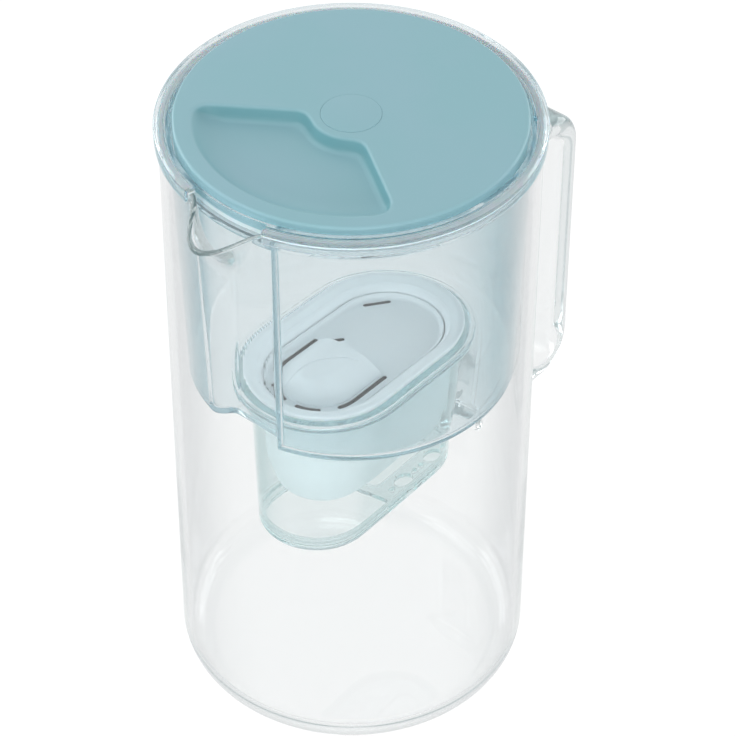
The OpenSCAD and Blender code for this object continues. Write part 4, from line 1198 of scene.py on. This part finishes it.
class PITCHER_OT_hopper(bpy.types.Operator):
    """Mould the clear hopper with its ring, pour channel, ledge and hinge posts"""
    bl_idname = "pitcher.hopper"
    bl_label = "Hopper"

    def execute(self, context):
        hop = context.scene.pitcher_hopper
        lid = context.scene.pitcher_lid
        shell = hopper_shell()
        for part in hopper_posts():
            shell = combine(shell, part, "UNION", 40)
        collar_in = hop.collar_radius - hop.collar_wall
        near = math.acos((lid.hinge_x + 4.2 * MM) / collar_in)
        far = math.acos((lid.hinge_x - 0.5 * MM) / collar_in)
        cutters = [sector("gap", hop.collar_radius + 0.03 * MM, hop.ring_radius + 2 * MM,
                          hop.skirt_foot - 1 * MM, hop.ring_top + 1 * MM,
                          math.pi - hop.gap_angle, math.pi + hop.gap_angle, 60)]
        for start, end in ((near, far), (-far, -near)):
            cutters.append(sector("relief", collar_in - 1 * MM, collar_in + 1.3 * MM,
                                  hop.ring_top - 2.2 * MM, hop.ring_top + 1 * MM, start, end, 12))
        shell = combine(shell, join("gaps", cutters), "DIFFERENCE", 40)
        finish_piece(shell, "hopper", aqua_material(), "hopper_clear", "hopper")
        return {"FINISHED"}


# The well


WELL_GAP = 0.6 * MM
LIP_THICK = 1.5 * MM


def well_size_at(level):
    """Outer length and width of the sleeve at a level."""
    well = bpy.context.scene.pitcher_well
    top, foot = well.lip_top - LIP_THICK, well.foot + well.base_thick
    down = (top - level) / (top - foot)
    high_l, high_w = well.hole_length - WELL_GAP, well.hole_width - WELL_GAP
    return high_l + (well.foot_length - high_l) * down, high_w + (well.foot_width - high_w) * down


class PITCHER_OT_sleeve(bpy.types.Operator):
    """Mould the clear sleeve that hangs in the hopper floor"""
    bl_idname = "pitcher.sleeve"
    bl_label = "Well Sleeve"

    def execute(self, context):
        well = context.scene.pitcher_well
        foot, lip_foot = well.foot + well.base_thick, well.lip_top - LIP_THICK
        reach = (well.lip_length - (well.hole_length - WELL_GAP)) / 2
        outline = rounded([(-well.wall, foot, 0.4 * MM), (-well.wall, well.lip_top, 0.9 * MM),
                           (reach, well.lip_top, 0.6 * MM), (reach, lip_foot, 0.4 * MM),
                           (0, lip_foot, 0.3 * MM), (0, foot, 0.4 * MM)], True)
        rows = []
        for step, level in outline:
            length, width = well_size_at(min(level, lip_foot))
            rows.append(slot_row(well.middle_x, length + 2 * step, width + 2 * step, level))
        sleeve = loft("well_sleeve_clear", rows, ring=True, smooth=40)
        finish_piece(sleeve, "hopper", sleeve_material(), "sleeve_clear", "well_sleeve")
        return {"FINISHED"}


class PITCHER_OT_base(bpy.types.Operator):
    """Mould the base of the well: a rim with a wide window and a truss"""
    bl_idname = "pitcher.base"
    bl_label = "Well Base"

    def execute(self, context):
        well = context.scene.pitcher_well
        foot, top = well.foot, well.foot + well.base_thick
        spigot = well.wall + 0.15 * MM
        outline = rounded([(-spigot - well.wall, foot, 0.3 * MM), (0, foot, 0.8 * MM),
                           (0, top, 0.15 * MM), (-spigot, top, 0.15 * MM),
                           (-spigot, top + 3 * MM, 0.5 * MM),
                           (-spigot - well.wall, top + 3 * MM, 0.5 * MM)], True)
        rows = [slot_row(well.middle_x, well.foot_length + 2 * e, well.foot_width + 2 * e, z)
                for e, z in outline]
        rim = loft("well_base_clear", rows, ring=True, smooth=40)
        plate = [slot_row(well.middle_x, well.foot_length - 2 * inset, well.foot_width - 2 * inset, level)
                 for inset, level in ((2.6 * MM, foot + 0.1 * MM), (2.4 * MM, foot + 0.3 * MM),
                                      (2.4 * MM, top - 0.3 * MM), (2.6 * MM, top - 0.1 * MM))]
        plate = loft("plate", plate, smooth=40)
        hole_l = well.foot_length - 2 * well.base_rim
        hole_w = well.foot_width - 2 * well.base_rim
        rib = well.truss_rib
        cell_w = (hole_w - well.truss_slot) / 2 - rib
        half = hole_w / 2 - 0.02 * MM
        window = rounded([(well.middle_x - rib, -half, 3 * MM), (well.middle_x - rib, half, 3 * MM)]
                         + [(well.middle_x - hole_l / 2 + half - half * math.sin(a), half * math.cos(a), 0)
                            for a in np.radians(np.linspace(0, 180, 25))], True)
        cutters = [prism("window", window, foot - 1 * MM, top + 1 * MM, 0.01 * MM)]
        strip_start, slot = well.middle_x + rib, well.truss_slot / 2
        strip_end = well.middle_x + hole_l / 2 - well.truss_cell / 2 + 4 * MM
        strip = rounded([(strip_start, -slot, 2.5 * MM), (strip_end, -slot, 4 * MM),
                         (strip_end, slot, 4 * MM), (strip_start, slot, 2.5 * MM)], True)
        cutters.append(prism("strip", strip, foot - 1 * MM, top + 1 * MM, 0.01 * MM))
        spots = [(strip_start + well.truss_cell * (cell + 0.5),
                  side * (slot + rib + cell_w / 2), foot - 1 * MM)
                 for side in (1, -1) for cell in (0, 1)]
        cells = grow("cells", cell_tree(), {
            "Hole": min(well.truss_hole, cell_w / 2), "Side Reach": 6.9 * MM, "Cross Reach": 20 * MM,
            "Side Size": 2.6 * MM, "Cross Size": 0.5 * MM, "Height": 4.2 * MM,
            "Material": sleeve_material()}, spots)
        tidy(cells.data)
        cutters.append(cells)
        plate = combine(plate, join("openings", cutters), "DIFFERENCE", 40)
        base = combine(rim, plate, "UNION", 40)
        finish_piece(base, "hopper", sleeve_material(), "sleeve_clear", "well_base")
        return {"FINISHED"}


# The lid


SCOOP_NOTCH_ROUND = 6.5 * MM
SCOOP_RIM_ROUND = 9 * MM
RAMP_CURVE = 2.4
UNDER_SHIFT = 1.9 * MM
CAP_GAP = 0.03 * MM
BORE_GAP = 0.06 * MM


def scoop_inside(radius, off, extra=0.0):
    """Distance into the plan of the scoop, with its corners rounded."""
    lid = bpy.context.scene.pitcher_lid
    side = radius * np.sin(np.clip(lid.scoop_angle - off, -math.pi / 2, math.pi / 2)) + extra
    notch = radius - lid.scoop_inner + extra
    rim = lid.scoop_outer - radius + extra
    return soft_min(soft_min(side, notch, SCOOP_NOTCH_ROUND), rim, SCOOP_RIM_ROUND)


def scoop_sink(radius, off, extra=0.0):
    """Depth of the scoop under the top of the lid: rounded edge, steep wall and soft foot."""
    lid = bpy.context.scene.pitcher_lid
    start = lid.scoop_rise * lid.scoop_outer
    climb = np.clip((radius - start) / (lid.scoop_outer - start), 0, 1)
    depth = lid.scoop_depth * (1 - climb ** RAMP_CURVE)
    deep = lid.scoop_depth / MM
    profile = rounded([(-3, 0, 0), (-0.1, 0, 1.3), (1.3, deep, 2.6), (6, deep, 0)], step=6)
    inside = scoop_inside(radius, off, extra) / MM
    return depth * np.interp(inside, profile[:, 0], profile[:, 1] / deep)


def lid_angles(lid):
    """Angles round the lid, closest together along the two straight walls of the scoop."""
    wall = math.degrees(lid.scoop_angle)
    half = np.concatenate([np.arange(0, wall - 16, 1.5), np.arange(wall - 16, wall - 5, 0.5),
                           np.arange(wall - 5, wall + 2.2, 0.2), np.arange(wall + 2.2, wall + 9, 0.6),
                           np.arange(wall + 9, 178.6, 1.6)])
    both = np.concatenate([-half[:0:-1], half, [180.0]])
    return np.radians(180 + both)


def lid_disc():
    """The disc with its rounded edge, its finger scoop and the recess for the cap."""
    lid = bpy.context.scene.pitcher_lid
    angles = lid_angles(lid)
    off = off_spout(angles)
    recess = lid.top - lid.cap_thick
    notch = lid.scoop_inner
    radii = np.concatenate([
        np.arange(lid.cap_radius + 0.5 * MM, notch - 1.7 * MM, 0.7 * MM),
        np.arange(notch - 1.6 * MM, notch + 4.2 * MM, 0.2 * MM),
        np.arange(notch + 4.8 * MM, 44 * MM, 1.4 * MM),
        np.arange(44 * MM, lid.scoop_outer + 1.5 * MM, 0.75 * MM)])
    rows = [turned_row(angles, 0.0, recess), turned_row(angles, lid.cap_radius + CAP_GAP, recess)]
    for r, z in rounded([(lid.cap_radius + CAP_GAP, recess + 0.3 * MM, 0),
                         (lid.cap_radius + CAP_GAP, lid.top, 0.18 * MM),
                         (lid.cap_radius + 0.5 * MM, lid.top, 0)], step=25)[:-1]:
        rows.append(turned_row(angles, r, z))
    for radius in radii:
        rows.append(turned_row(angles, radius, lid.top - scoop_sink(radius, off)))
    edge = rounded([(lid.scoop_outer + 1.6 * MM, lid.top, 0), (lid.radius, lid.top, lid.edge),
                    (lid.radius, lid.top - lid.plate, 0.2 * MM),
                    (lid.radius - 3 * MM, lid.top - lid.plate, 0)], step=10)[:-1]
    rows += [turned_row(angles, r, z) for r, z in edge]
    under = lid.top - lid.plate
    for radius in radii[::-1]:
        sink = scoop_sink(radius, off, UNDER_SHIFT) + lid.scoop_floor
        rows.append(turned_row(angles, radius, np.minimum(under, lid.top - sink)))
    rows.append(turned_row(angles, lid.cap_radius, under))
    rows.append(turned_row(angles, 0.0, under))
    return loft("lid_disc", rows, smooth=40)


def lid_under_parts():
    """Skirt, ribs and hinge lugs under the disc."""
    lid = bpy.context.scene.pitcher_lid
    inner, outer = lid.radius - lid.skirt_wall, lid.radius - 0.06 * MM
    low, high = lid.skirt_foot, lid.top - lid.plate + 0.9 * MM
    end = math.acos(lid.skirt_end / outer)
    parts = [sector("skirt", inner, outer, low, high, end, 2 * math.pi - end, 200)]
    shallow = lid.top - lid.scoop_depth - lid.scoop_floor + 0.05 * MM
    start = 3.2 * MM
    ribs = grow("ribs", spoke_tree(), {
        "Count": lid.rib_count, "Start": start, "Length": inner + 0.4 * MM - start, "Thickness": 1.4 * MM,
        "Height": high - 0.3 * MM - shallow, "Level": (high - 0.3 * MM + shallow) / 2,
        "Material": lid_material()})
    tidy(ribs.data)
    keep = lid.scoop_angle + math.radians(1.5)
    parts.append(combine(ribs, sector("keep", lid.scoop_inner - 1.3 * MM, lid.scoop_outer + 1.5 * MM,
                                      low, lid.top, math.pi - keep, math.pi + keep, 60), "DIFFERENCE"))
    eye = lid.pin_radius + 1.2 * MM
    outline = arc_points(lid.hinge_x, lid.hinge_level, eye, math.pi, 2 * math.pi, 18)
    outline += [(lid.hinge_x + eye, lid.top - 1.2 * MM), (lid.hinge_x - eye, lid.top - 1.2 * MM)]
    return parts + both_sides("lug", outline, lid.lug_y, lid.lug_y + lid.lug_width, 0.2 * MM)


class PITCHER_OT_lid(bpy.types.Operator):
    """Mould the flip lid with its finger scoop, skirt, ribs and hinge lugs"""
    bl_idname = "pitcher.lid"
    bl_label = "Lid"

    def execute(self, context):
        lid = context.scene.pitcher_lid
        disc = lid_disc()
        for part in lid_under_parts():
            disc = combine(disc, part, "UNION", 40)
        bore = arc_points(lid.hinge_x, lid.hinge_level, lid.pin_radius + BORE_GAP, 0, 2 * math.pi, 33)[:-1]
        lug_end, under = lid.lug_y + lid.lug_width, lid.top - lid.plate
        post_y = lug_end + lid.lug_gap
        pocket = [(lid.hinge_x + side * 3 * MM, under + level) for side, level in (
            (-1, -1 * MM), (1, -1 * MM), (1, 1.1 * MM), (-1, 1.1 * MM))]
        cutters = both_sides("bore", bore, lid.lug_y - 0.25 * MM, lug_end + 0.25 * MM, 0.01 * MM)
        cutters += both_sides("pocket", pocket, post_y - lid.lug_gap + 0.3 * MM,
                              post_y + lid.lug_width + lid.lug_gap, 0.01 * MM)
        disc = combine(disc, join("bores", cutters), "DIFFERENCE", 40)
        finish_piece(disc, "lid", lid_material(), "lid", "lid_shell")
        return {"FINISHED"}


class PITCHER_OT_lid_cap(bpy.types.Operator):
    """Turn the bare cap in the middle of the lid"""
    bl_idname = "pitcher.lid_cap"
    bl_label = "Lid Cap"

    def execute(self, context):
        lid = context.scene.pitcher_lid
        angles = np.radians(np.arange(0, 360, 2.5))
        foot, high = lid.top - lid.cap_thick, lid.top + lid.cap_proud
        outline = rounded([(0, foot, 0), (lid.cap_radius, foot, 0.1 * MM), (lid.cap_radius, high, 0.22 * MM),
                           (0, high, 0)], step=18)
        rows = [turned_row(angles, r, z) for r, z in outline]
        cap = loft("lid_centre_cap", rows, smooth=40)
        finish_piece(cap, "lid", lid_material(), "lid", "lid_cap")
        return {"FINISHED"}


# The cartridge


# Levels over the foot where the taper changes, in millimetres, and how much shorter and
# narrower than at its rim the cartridge is at its foot, at those levels and at its rim
TAPER_LEVELS = (4, 17)
TAPER_LENGTHS = (28, 13, 5, 0)
TAPER_WIDTHS = (30, 16, 7, 0)
TAPER_BLEND = 2.5 * MM


def cartridge_size_at(level, inset=0.0):
    """Length and width of the cartridge at a level, with soft turns between its tapers."""
    cart = bpy.context.scene.pitcher_cartridge
    levels = [cart.foot, *(cart.foot + level * MM for level in TAPER_LEVELS), cart.rim]
    lengths = cart.length - np.array(TAPER_LENGTHS) * MM
    widths = cart.width - np.array(TAPER_WIDTHS) * MM
    spread = np.linspace(-TAPER_BLEND, TAPER_BLEND, 11)
    length = np.mean(np.interp(np.maximum(level + spread, cart.foot - 1), levels, lengths))
    width = np.mean(np.interp(level + spread, levels, widths))
    return length - 2 * inset, width - 2 * inset


def cartridge_row(level, inset=0.0):
    """A row of points round the cartridge at a level, set in from its outer face."""
    length, width = cartridge_size_at(level, inset)
    return slot_row(bpy.context.scene.pitcher_well.middle_x, length, width, level)


class PITCHER_OT_cup(bpy.types.Operator):
    """Mould the opaque cup of the cartridge with its shoulder and outlet slots"""
    bl_idname = "pitcher.cup"
    bl_label = "Cartridge Cup"

    def execute(self, context):
        cart = context.scene.pitcher_cartridge
        middle = context.scene.pitcher_well.middle_x
        under = cart.rim - cart.shoulder_thick
        rows = [cartridge_row(cart.foot + level * MM, inset * MM)
                for inset, level in ((4.5, 0), (1.2, 0.0), (0.5, 0.35), (0.15, 0.9))]
        outside = np.concatenate([np.arange(cart.foot + 1.6 * MM, cart.foot + 24 * MM, 1.1 * MM),
                                  np.linspace(cart.foot + 26 * MM, under - 1.1 * MM, 12)])
        rows += [cartridge_row(level) for level in outside]
        shoulder = rounded([(0, under - 0.9 * MM, 0), (0.5 * MM, under, 0), (cart.shoulder, under, 0.5 * MM),
                            (cart.shoulder, cart.rim, 0.7 * MM), (0.6 * cart.shoulder, cart.rim, 3 * MM),
                            (-0.2 * MM, under - 0.6 * MM, 2 * MM),
                            (-cart.wall, cart.cap_top + 2.3 * MM, 1.5 * MM),
                            (-cart.wall, cart.cap_top + 0.8 * MM, 0)], step=12)
        rows += [cartridge_row(level, -step) for step, level in shoulder]
        inside = np.concatenate([np.linspace(cart.cap_top, cart.foot + 20 * MM, 10),
                                 np.arange(cart.foot + 18 * MM, cart.foot + 2.2 * MM, -2 * MM)])
        rows += [cartridge_row(level, cart.wall) for level in inside]
        length, width = cartridge_size_at(cart.foot + 1.6 * MM, cart.wall)
        rows.append(slot_row(middle, length - 5 * MM, width - 5 * MM, cart.foot + cart.wall))
        cup = loft("cartridge_cup_blue", rows, smooth=40)
        slots = grow("slots", row_tree(), {
            "Count": cart.slot_count, "Pitch": cart.slot_pitch, "Middle": middle,
            "Length": cart.slot_length, "Width": cart.slit, "Height": 4 * MM,
            "Level": cart.foot - 1 * MM, "Material": cartridge_material()})
        tidy(slots.data)
        cup = combine(cup, slots, "DIFFERENCE", 40)
        finish_piece(cup, "cartridge", cartridge_material(), "cartridge", "cartridge_cup")
        return {"FINISHED"}


def grip_outline(grow_by, steps=40):
    """Half-round nose towards the spout with straight sides: points from the handle end of
    one side round the nose to the other."""
    cart = bpy.context.scene.pitcher_cartridge
    radius = cart.grip_width / 2 + grow_by
    round_x = -cart.grip_start + cart.grip_width / 2
    end_x = -cart.grip_start + cart.grip_length
    points = [(x, radius) for x in np.linspace(end_x, round_x, 14)[:-1]]
    points += [(round_x - radius * math.sin(a), radius * math.cos(a))
               for a in np.linspace(0, math.pi, steps)]
    points += [(x, -radius) for x in np.linspace(round_x, end_x, 14)[1:]]
    return np.array(points)


# Share of the height of the grip, then of its width and length at that height
GRIP_STEPS = ((0, 1, 1), (0.1, 1, 1), (0.17, 0.985, 0.99), (0.3, 0.92, 0.96), (0.45, 0.83, 0.92),
              (0.58, 0.745, 0.88), (0.7, 0.66, 0.845), (0.8, 0.575, 0.815), (0.88, 0.49, 0.785),
              (0.94, 0.41, 0.76), (0.975, 0.33, 0.735), (0.993, 0.24, 0.7), (1, 0.12, 0.62))

# Plan of the groove over the dome of the grip, from its nose to its near side, in millimetres
GROOVE_PLAN = ((-30.6, 6), (-28.6, 5.8), (-25.5, 5.4), (-21, 4.8), (-16, 3.4), (-12.4, 1),
               (-9, -2.2), (-6.6, -5.4), (-5.4, -8))
GROOVE_RADIUS = 0.45 * MM
GROOVE_RISE = 0.12 * MM

# Middles of the two oblique slits beside the grip, in millimetres, with their turn and half length
SIDE_SLITS = ((2, 12.2), (31, 13.8))
SIDE_SLIT_TURN = math.radians(-36)
SIDE_SLIT_REACH = 5.5 * MM

# Where the ring of slits is bridged, as a share of the grip's length, and half of the bridge
BRIDGE_PLACE = 0.16
BRIDGE_HALF = 1.6 * MM


def slit_cutter(points, low, high):
    """An upright cutter along a short run of points, with round ends."""
    cart = bpy.context.scene.pitcher_cartridge
    half = cart.slit / 2
    points = np.asarray(points, float)
    ahead = np.gradient(points, axis=0)
    ahead /= np.linalg.norm(ahead, axis=1)[:, None]
    side = np.stack([-ahead[:, 1], ahead[:, 0]], 1)
    ends = []
    for point, way, flip in ((points[-1], ahead[-1], 1), (points[0], -ahead[0], -1)):
        base = math.atan2(way[1], way[0])
        ends.append([point + half * np.array([math.cos(base + t), math.sin(base + t)])
                     for t in np.linspace(-math.pi / 2, math.pi / 2, 9)[1:-1]])
    outline = np.concatenate([points - side * half, ends[0], (points + side * half)[::-1], ends[1]])
    rows = [np.column_stack([outline, np.full(len(outline), level)]) for level in (low, high)]
    return loft("slit", rows)


class PITCHER_OT_cap(bpy.types.Operator):
    """Mould the cap of the cartridge with its inlet slits, whose walls are painted dark as shade"""
    bl_idname = "pitcher.cap"
    bl_label = "Cartridge Cap"

    def execute(self, context):
        cart = context.scene.pitcher_cartridge
        middle = context.scene.pitcher_well.middle_x
        foot = cart.cap_top - cart.cap_thick
        top, high = cart.cap_top, cart.cap_top + cart.dish_height
        outline = [(0, foot), (0, top)]
        outline += rounded([(0, top + 0.01 * MM, 0), (0, high, 0.15 * MM), (0.4 * MM, high, 0.15 * MM),
                            (1.3 * MM, top, 3 * MM), (9 * MM, top, 0)], step=8).tolist()
        rows = []
        for inset, level in outline:
            flare = 0.13 * max(level - top, 0)
            rows.append(slot_row(middle, cart.cap_length - 2 * inset + flare,
                                 cart.cap_width - 2 * inset + flare, level))
        plate = loft("cartridge_cap_blue", rows, smooth=40)
        line = grip_outline(cart.slit_gap + cart.slit / 2, 60)
        bridge = BRIDGE_HALF + cart.slit / 2
        ahead = line[:, 0] - (-cart.grip_start + cart.grip_length * BRIDGE_PLACE)
        runs = [line[(side * line[:, 1] > bridge) & (way * ahead > bridge)]
                for side, way in ((1, 1), (1, -1), (-1, -1), (-1, 1))]
        way = np.array([math.cos(SIDE_SLIT_TURN), math.sin(SIDE_SLIT_TURN)])
        way *= SIDE_SLIT_REACH - cart.slit / 2
        runs += [[np.array(spot) * MM + way * t for t in np.linspace(-1, 1, 5)] for spot in SIDE_SLITS]
        cutters = [slit_cutter(run, foot - 1 * MM, cart.cap_top + 2.4 * MM) for run in runs]
        plate = combine(plate, join("slits", cutters), "DIFFERENCE", 40)
        # The walls of the slits and the underside of the cap get painted shade below the top of the cap
        finish_piece(plate, "cartridge", cartridge_material(cart.cap_top), "cartridge", "cartridge_cap")
        return {"FINISHED"}


class PITCHER_OT_grip(bpy.types.Operator):
    """Mould the domed grip that the cartridge is pulled out by"""
    bl_idname = "pitcher.grip"
    bl_label = "Cartridge Grip"

    def execute(self, context):
        cart = context.scene.pitcher_cartridge
        height = cart.grip_top - cart.cap_top
        rows = []
        end_x = -cart.grip_start + cart.grip_length
        for up, wide, nose in GRIP_STEPS:
            flat = grip_outline(0.0)
            flat[:, 1] *= wide
            flat[:, 0] = end_x - 1 * MM * up ** 2 + (flat[:, 0] - end_x) * nose
            rows.append(np.column_stack([flat, np.full(len(flat), cart.cap_top + height * up)]))
        dome = loft("cartridge_grip_blue", rows, smooth=45)
        line = []
        for x, y in GROOVE_PLAN:
            hit, place, *_ = dome.ray_cast((x * MM, y * MM, cart.grip_top + 10 * MM), (0, 0, -1))
            if not hit:
                raise RuntimeError(f"the groove leaves the grip at {x}, {y}")
            line.append(place + Vector((0, 0, GROOVE_RISE)))
        groove = grow("groove", bead_tree(), {"Radius": GROOVE_RADIUS, "Material": cartridge_material()},
                      line, [(i, i + 1) for i in range(len(line) - 1)])
        tidy(groove.data)
        dome = combine(dome, groove, "DIFFERENCE", 45)
        finish_piece(dome, "cartridge", cartridge_material(), "cartridge", "cartridge_grip")
        return {"FINISHED"}


class PITCHER_OT_small_parts(bpy.types.Operator):
    """Give the seals, pins, liner, screens and filter bed their materials"""
    bl_idname = "pitcher.small_parts"
    bl_label = "Seals, Pins and Screens"

    def execute(self, context):
        tones = context.scene.pitcher_colours
        liner = moulded_material("Liner Plastic", tones.liner, [v * 0.9 for v in tones.liner], 0.42,
                                 grain=1800.0, bump=0.2)
        looks = {"rim_gasket": silicone_material(), "lid_seal": silicone_material(),
                 "cartridge_seal": silicone_material(), "hinge_pins": steel_material(),
                 "lid_liner": liner, "upper_screen": screen_material(),
                 "lower_screen": screen_material(), "filter_media": media_material()}
        for node, material in looks.items():
            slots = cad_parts[node].material_slots
            if not slots:
                raise RuntimeError(f"{node} has no material slot")
            for slot in slots:
                slot.material = material
        return {"FINISHED"}


# The stage


WHITE = (1, 1, 1, 1)
FLOOR_TONE = (0.84, 0.845, 0.85, 1)
FLOOR_DIM = 0.12
FLAG_TONE = (0.16, 0.22, 0.25, 1)
FLAG_BEARING = math.radians(40)
FLAG_FROM, FLAG_TO = 0.77, 0.92
SIDE_LAMP_TURNS = (100, 220, 340)
SIDE_LAMP_REACH = 1.7
SIDE_LAMP_LEVEL = 0.42
SENSOR_WIDTH = 36.0


def white_floor():
    """A wide pale floor that shows white to the camera and keeps the object's shadow."""
    stage = bpy.context.scene.pitcher_stage
    half = stage.floor_size / 2
    mesh = bpy.data.meshes.new("floor")
    mesh.from_pydata([(-half, -half, 0), (half, -half, 0), (half, half, 0), (-half, half, 0)], [],
                     [(0, 1, 2, 3)])
    floor = make_object("floor", mesh)
    material, build, surface, out = start_material("White Floor")
    for key, value in {"Base Color": FLOOR_TONE, "Roughness": 0.9, "Specular IOR Level": 0.0}.items():
        surface.inputs[key].default_value = value
    path = build.add("ShaderNodeLightPath").outputs
    through = build.math("MAXIMUM", path["Is Glossy Ray"], path["Is Transmission Ray"])
    seen = build.math("MAXIMUM", path["Is Camera Ray"], through)
    strength = build.math("SUBTRACT", stage.floor_white, build.math("MULTIPLY", through, FLOOR_DIM))
    glow = build.add("ShaderNodeEmission", {"Color": WHITE, "Strength": strength})
    build.feed(out.inputs["Surface"], build.add("ShaderNodeMixShader", {
        0: build.math("MULTIPLY", seen, stage.floor_glow), 1: surface, 2: glow}))
    floor.data.materials.append(material)


def studio_room():
    """The room: white to the camera, softly graded with two grey flags for glass and gloss."""
    stage = bpy.context.scene.pitcher_stage
    world = bpy.data.worlds.new("Studio")
    bpy.context.scene.world = world
    world.use_nodes = True
    world.node_tree.nodes.clear()
    build = Tree(world.node_tree)
    path = build.add("ShaderNodeLightPath").outputs
    way = build.apart(build.add("ShaderNodeTexCoord").outputs["Generated"])
    bearing = build.math("ARCTAN2", way["Y"], way["X"])
    side = build.math("ABSOLUTE", build.math("SINE", build.math("SUBTRACT", bearing, FLAG_BEARING)))
    low = build.ramp(way["Z"], 0.05, 0.75, 1.0, 0.25, soft=True)
    dark = build.math("MULTIPLY", build.ramp(side, FLAG_FROM, FLAG_TO, soft=True), low)
    plain = build.add("ShaderNodeBackground", {"Color": WHITE, "Strength": stage.sky})
    shown = build.add("ShaderNodeBackground", {"Color": build.mix(dark, WHITE, FLAG_TONE), "Strength": 1.0})
    white = build.add("ShaderNodeBackground", {"Color": WHITE, "Strength": 1.0})
    through = build.math("MAXIMUM", path["Is Glossy Ray"], path["Is Transmission Ray"])
    graded = build.add("ShaderNodeMixShader", {0: through, 1: plain, 2: shown})
    room = build.add("ShaderNodeMixShader", {0: path["Is Camera Ray"], 1: graded, 2: white})
    build.add("ShaderNodeOutputWorld", {0: room})


def soft_lamp(name, place, target, wide, high, power):
    """A large soft lamp that looks at the target."""
    data = bpy.data.lights.new(name, "AREA")
    data.shape = "RECTANGLE"
    data.size, data.size_y = wide, high
    data.energy = power
    lamp = bpy.data.objects.new(name, data)
    bpy.context.scene.collection.objects.link(lamp)
    lamp.location = place
    lamp.rotation_mode = "QUATERNION"
    lamp.rotation_quaternion = (Vector(target) - Vector(place)).to_track_quat("-Z", "Y")
    return lamp


class PITCHER_OT_stage(bpy.types.Operator):
    """Set up the pale floor, the soft lamps and the camera of the photograph"""
    bl_idname = "pitcher.stage"
    bl_label = "Stage"

    def execute(self, context):
        stage = context.scene.pitcher_stage
        white_floor()
        studio_room()
        soft_lamp("key_lamp", place=(-0.9, 0.9, 1.5), target=(0, 0, 0.15), wide=1.1, high=0.9,
                  power=stage.key)
        for turn in SIDE_LAMP_TURNS:
            bearing = math.radians(turn)
            place = (SIDE_LAMP_REACH * math.cos(bearing), SIDE_LAMP_REACH * math.sin(bearing),
                     SIDE_LAMP_LEVEL)
            soft_lamp(f"side_lamp_{turn}", place, target=(0, 0, 0.12), wide=1.4, high=0.7,
                      power=stage.fill)
        data = bpy.data.cameras.new("camera")
        data.lens, data.sensor_width = stage.lens, SENSOR_WIDTH
        camera = bpy.data.objects.new("camera", data)
        context.scene.collection.objects.link(camera)
        right, up = Vector(stage.camera_right).normalized(), Vector(stage.camera_up).normalized()
        back = right.cross(up)
        turn = Matrix((right, up, back)).transposed().to_4x4()
        camera.matrix_world = Matrix.Translation(Vector(stage.camera_place)) @ turn
        data.clip_start, data.clip_end = 0.05, 20.0
        context.scene.camera = camera
        context.scene.view_settings.view_transform = "Standard"
        for kind in ("max_bounces", "transmission_bounces", "glossy_bounces", "transparent_max_bounces"):
            setattr(context.scene.cycles, kind, stage.bounces)
        return {"FINISHED"}


class PITCHER_PT_panel(bpy.types.Panel):
    """The pieces of the pitcher and the values that shape them"""
    bl_idname = "PITCHER_PT_panel"
    bl_label = "Water Filter Pitcher"
    bl_space_type = "VIEW_3D"
    bl_region_type = "UI"
    bl_category = "Pitcher"

    def draw(self, context):
        layout = self.layout
        for operator in OPERATORS:
            layout.operator(operator.bl_idname)
        for attribute in GROUPS:
            values = getattr(context.scene, attribute)
            box = layout.box()
            box.label(text=attribute.replace("pitcher_", "").title())
            for key in values.bl_rna.properties.keys():
                if key not in ("rna_type", "name"):
                    box.prop(values, key)


GROUPS = {"pitcher_jug": JugSizes, "pitcher_hopper": HopperSizes, "pitcher_lid": LidSizes,
          "pitcher_well": WellSizes, "pitcher_cartridge": CartridgeSizes,
          "pitcher_colours": PitcherColours, "pitcher_stage": StageSettings}
OPERATORS = (PITCHER_OT_stage, PITCHER_OT_glass, PITCHER_OT_hopper, PITCHER_OT_sleeve,
             PITCHER_OT_base, PITCHER_OT_lid, PITCHER_OT_lid_cap, PITCHER_OT_cup,
             PITCHER_OT_cap, PITCHER_OT_grip, PITCHER_OT_small_parts)


def register():
    for attribute, group in GROUPS.items():
        bpy.utils.register_class(group)
        setattr(bpy.types.Scene, attribute, PointerProperty(type=group))
    for operator in OPERATORS:
        bpy.utils.register_class(operator)
    bpy.utils.register_class(PITCHER_PT_panel)


def unregister():
    bpy.utils.unregister_class(PITCHER_PT_panel)
    for operator in reversed(OPERATORS):
        bpy.utils.unregister_class(operator)
    for attribute, group in GROUPS.items():
        delattr(bpy.types.Scene, attribute)
        bpy.utils.unregister_class(group)


def main():
    register()
    for operator in OPERATORS:
        area, name = operator.bl_idname.split(".")
        getattr(getattr(bpy.ops, area), name)()


if __name__ == "__main__":
    main()
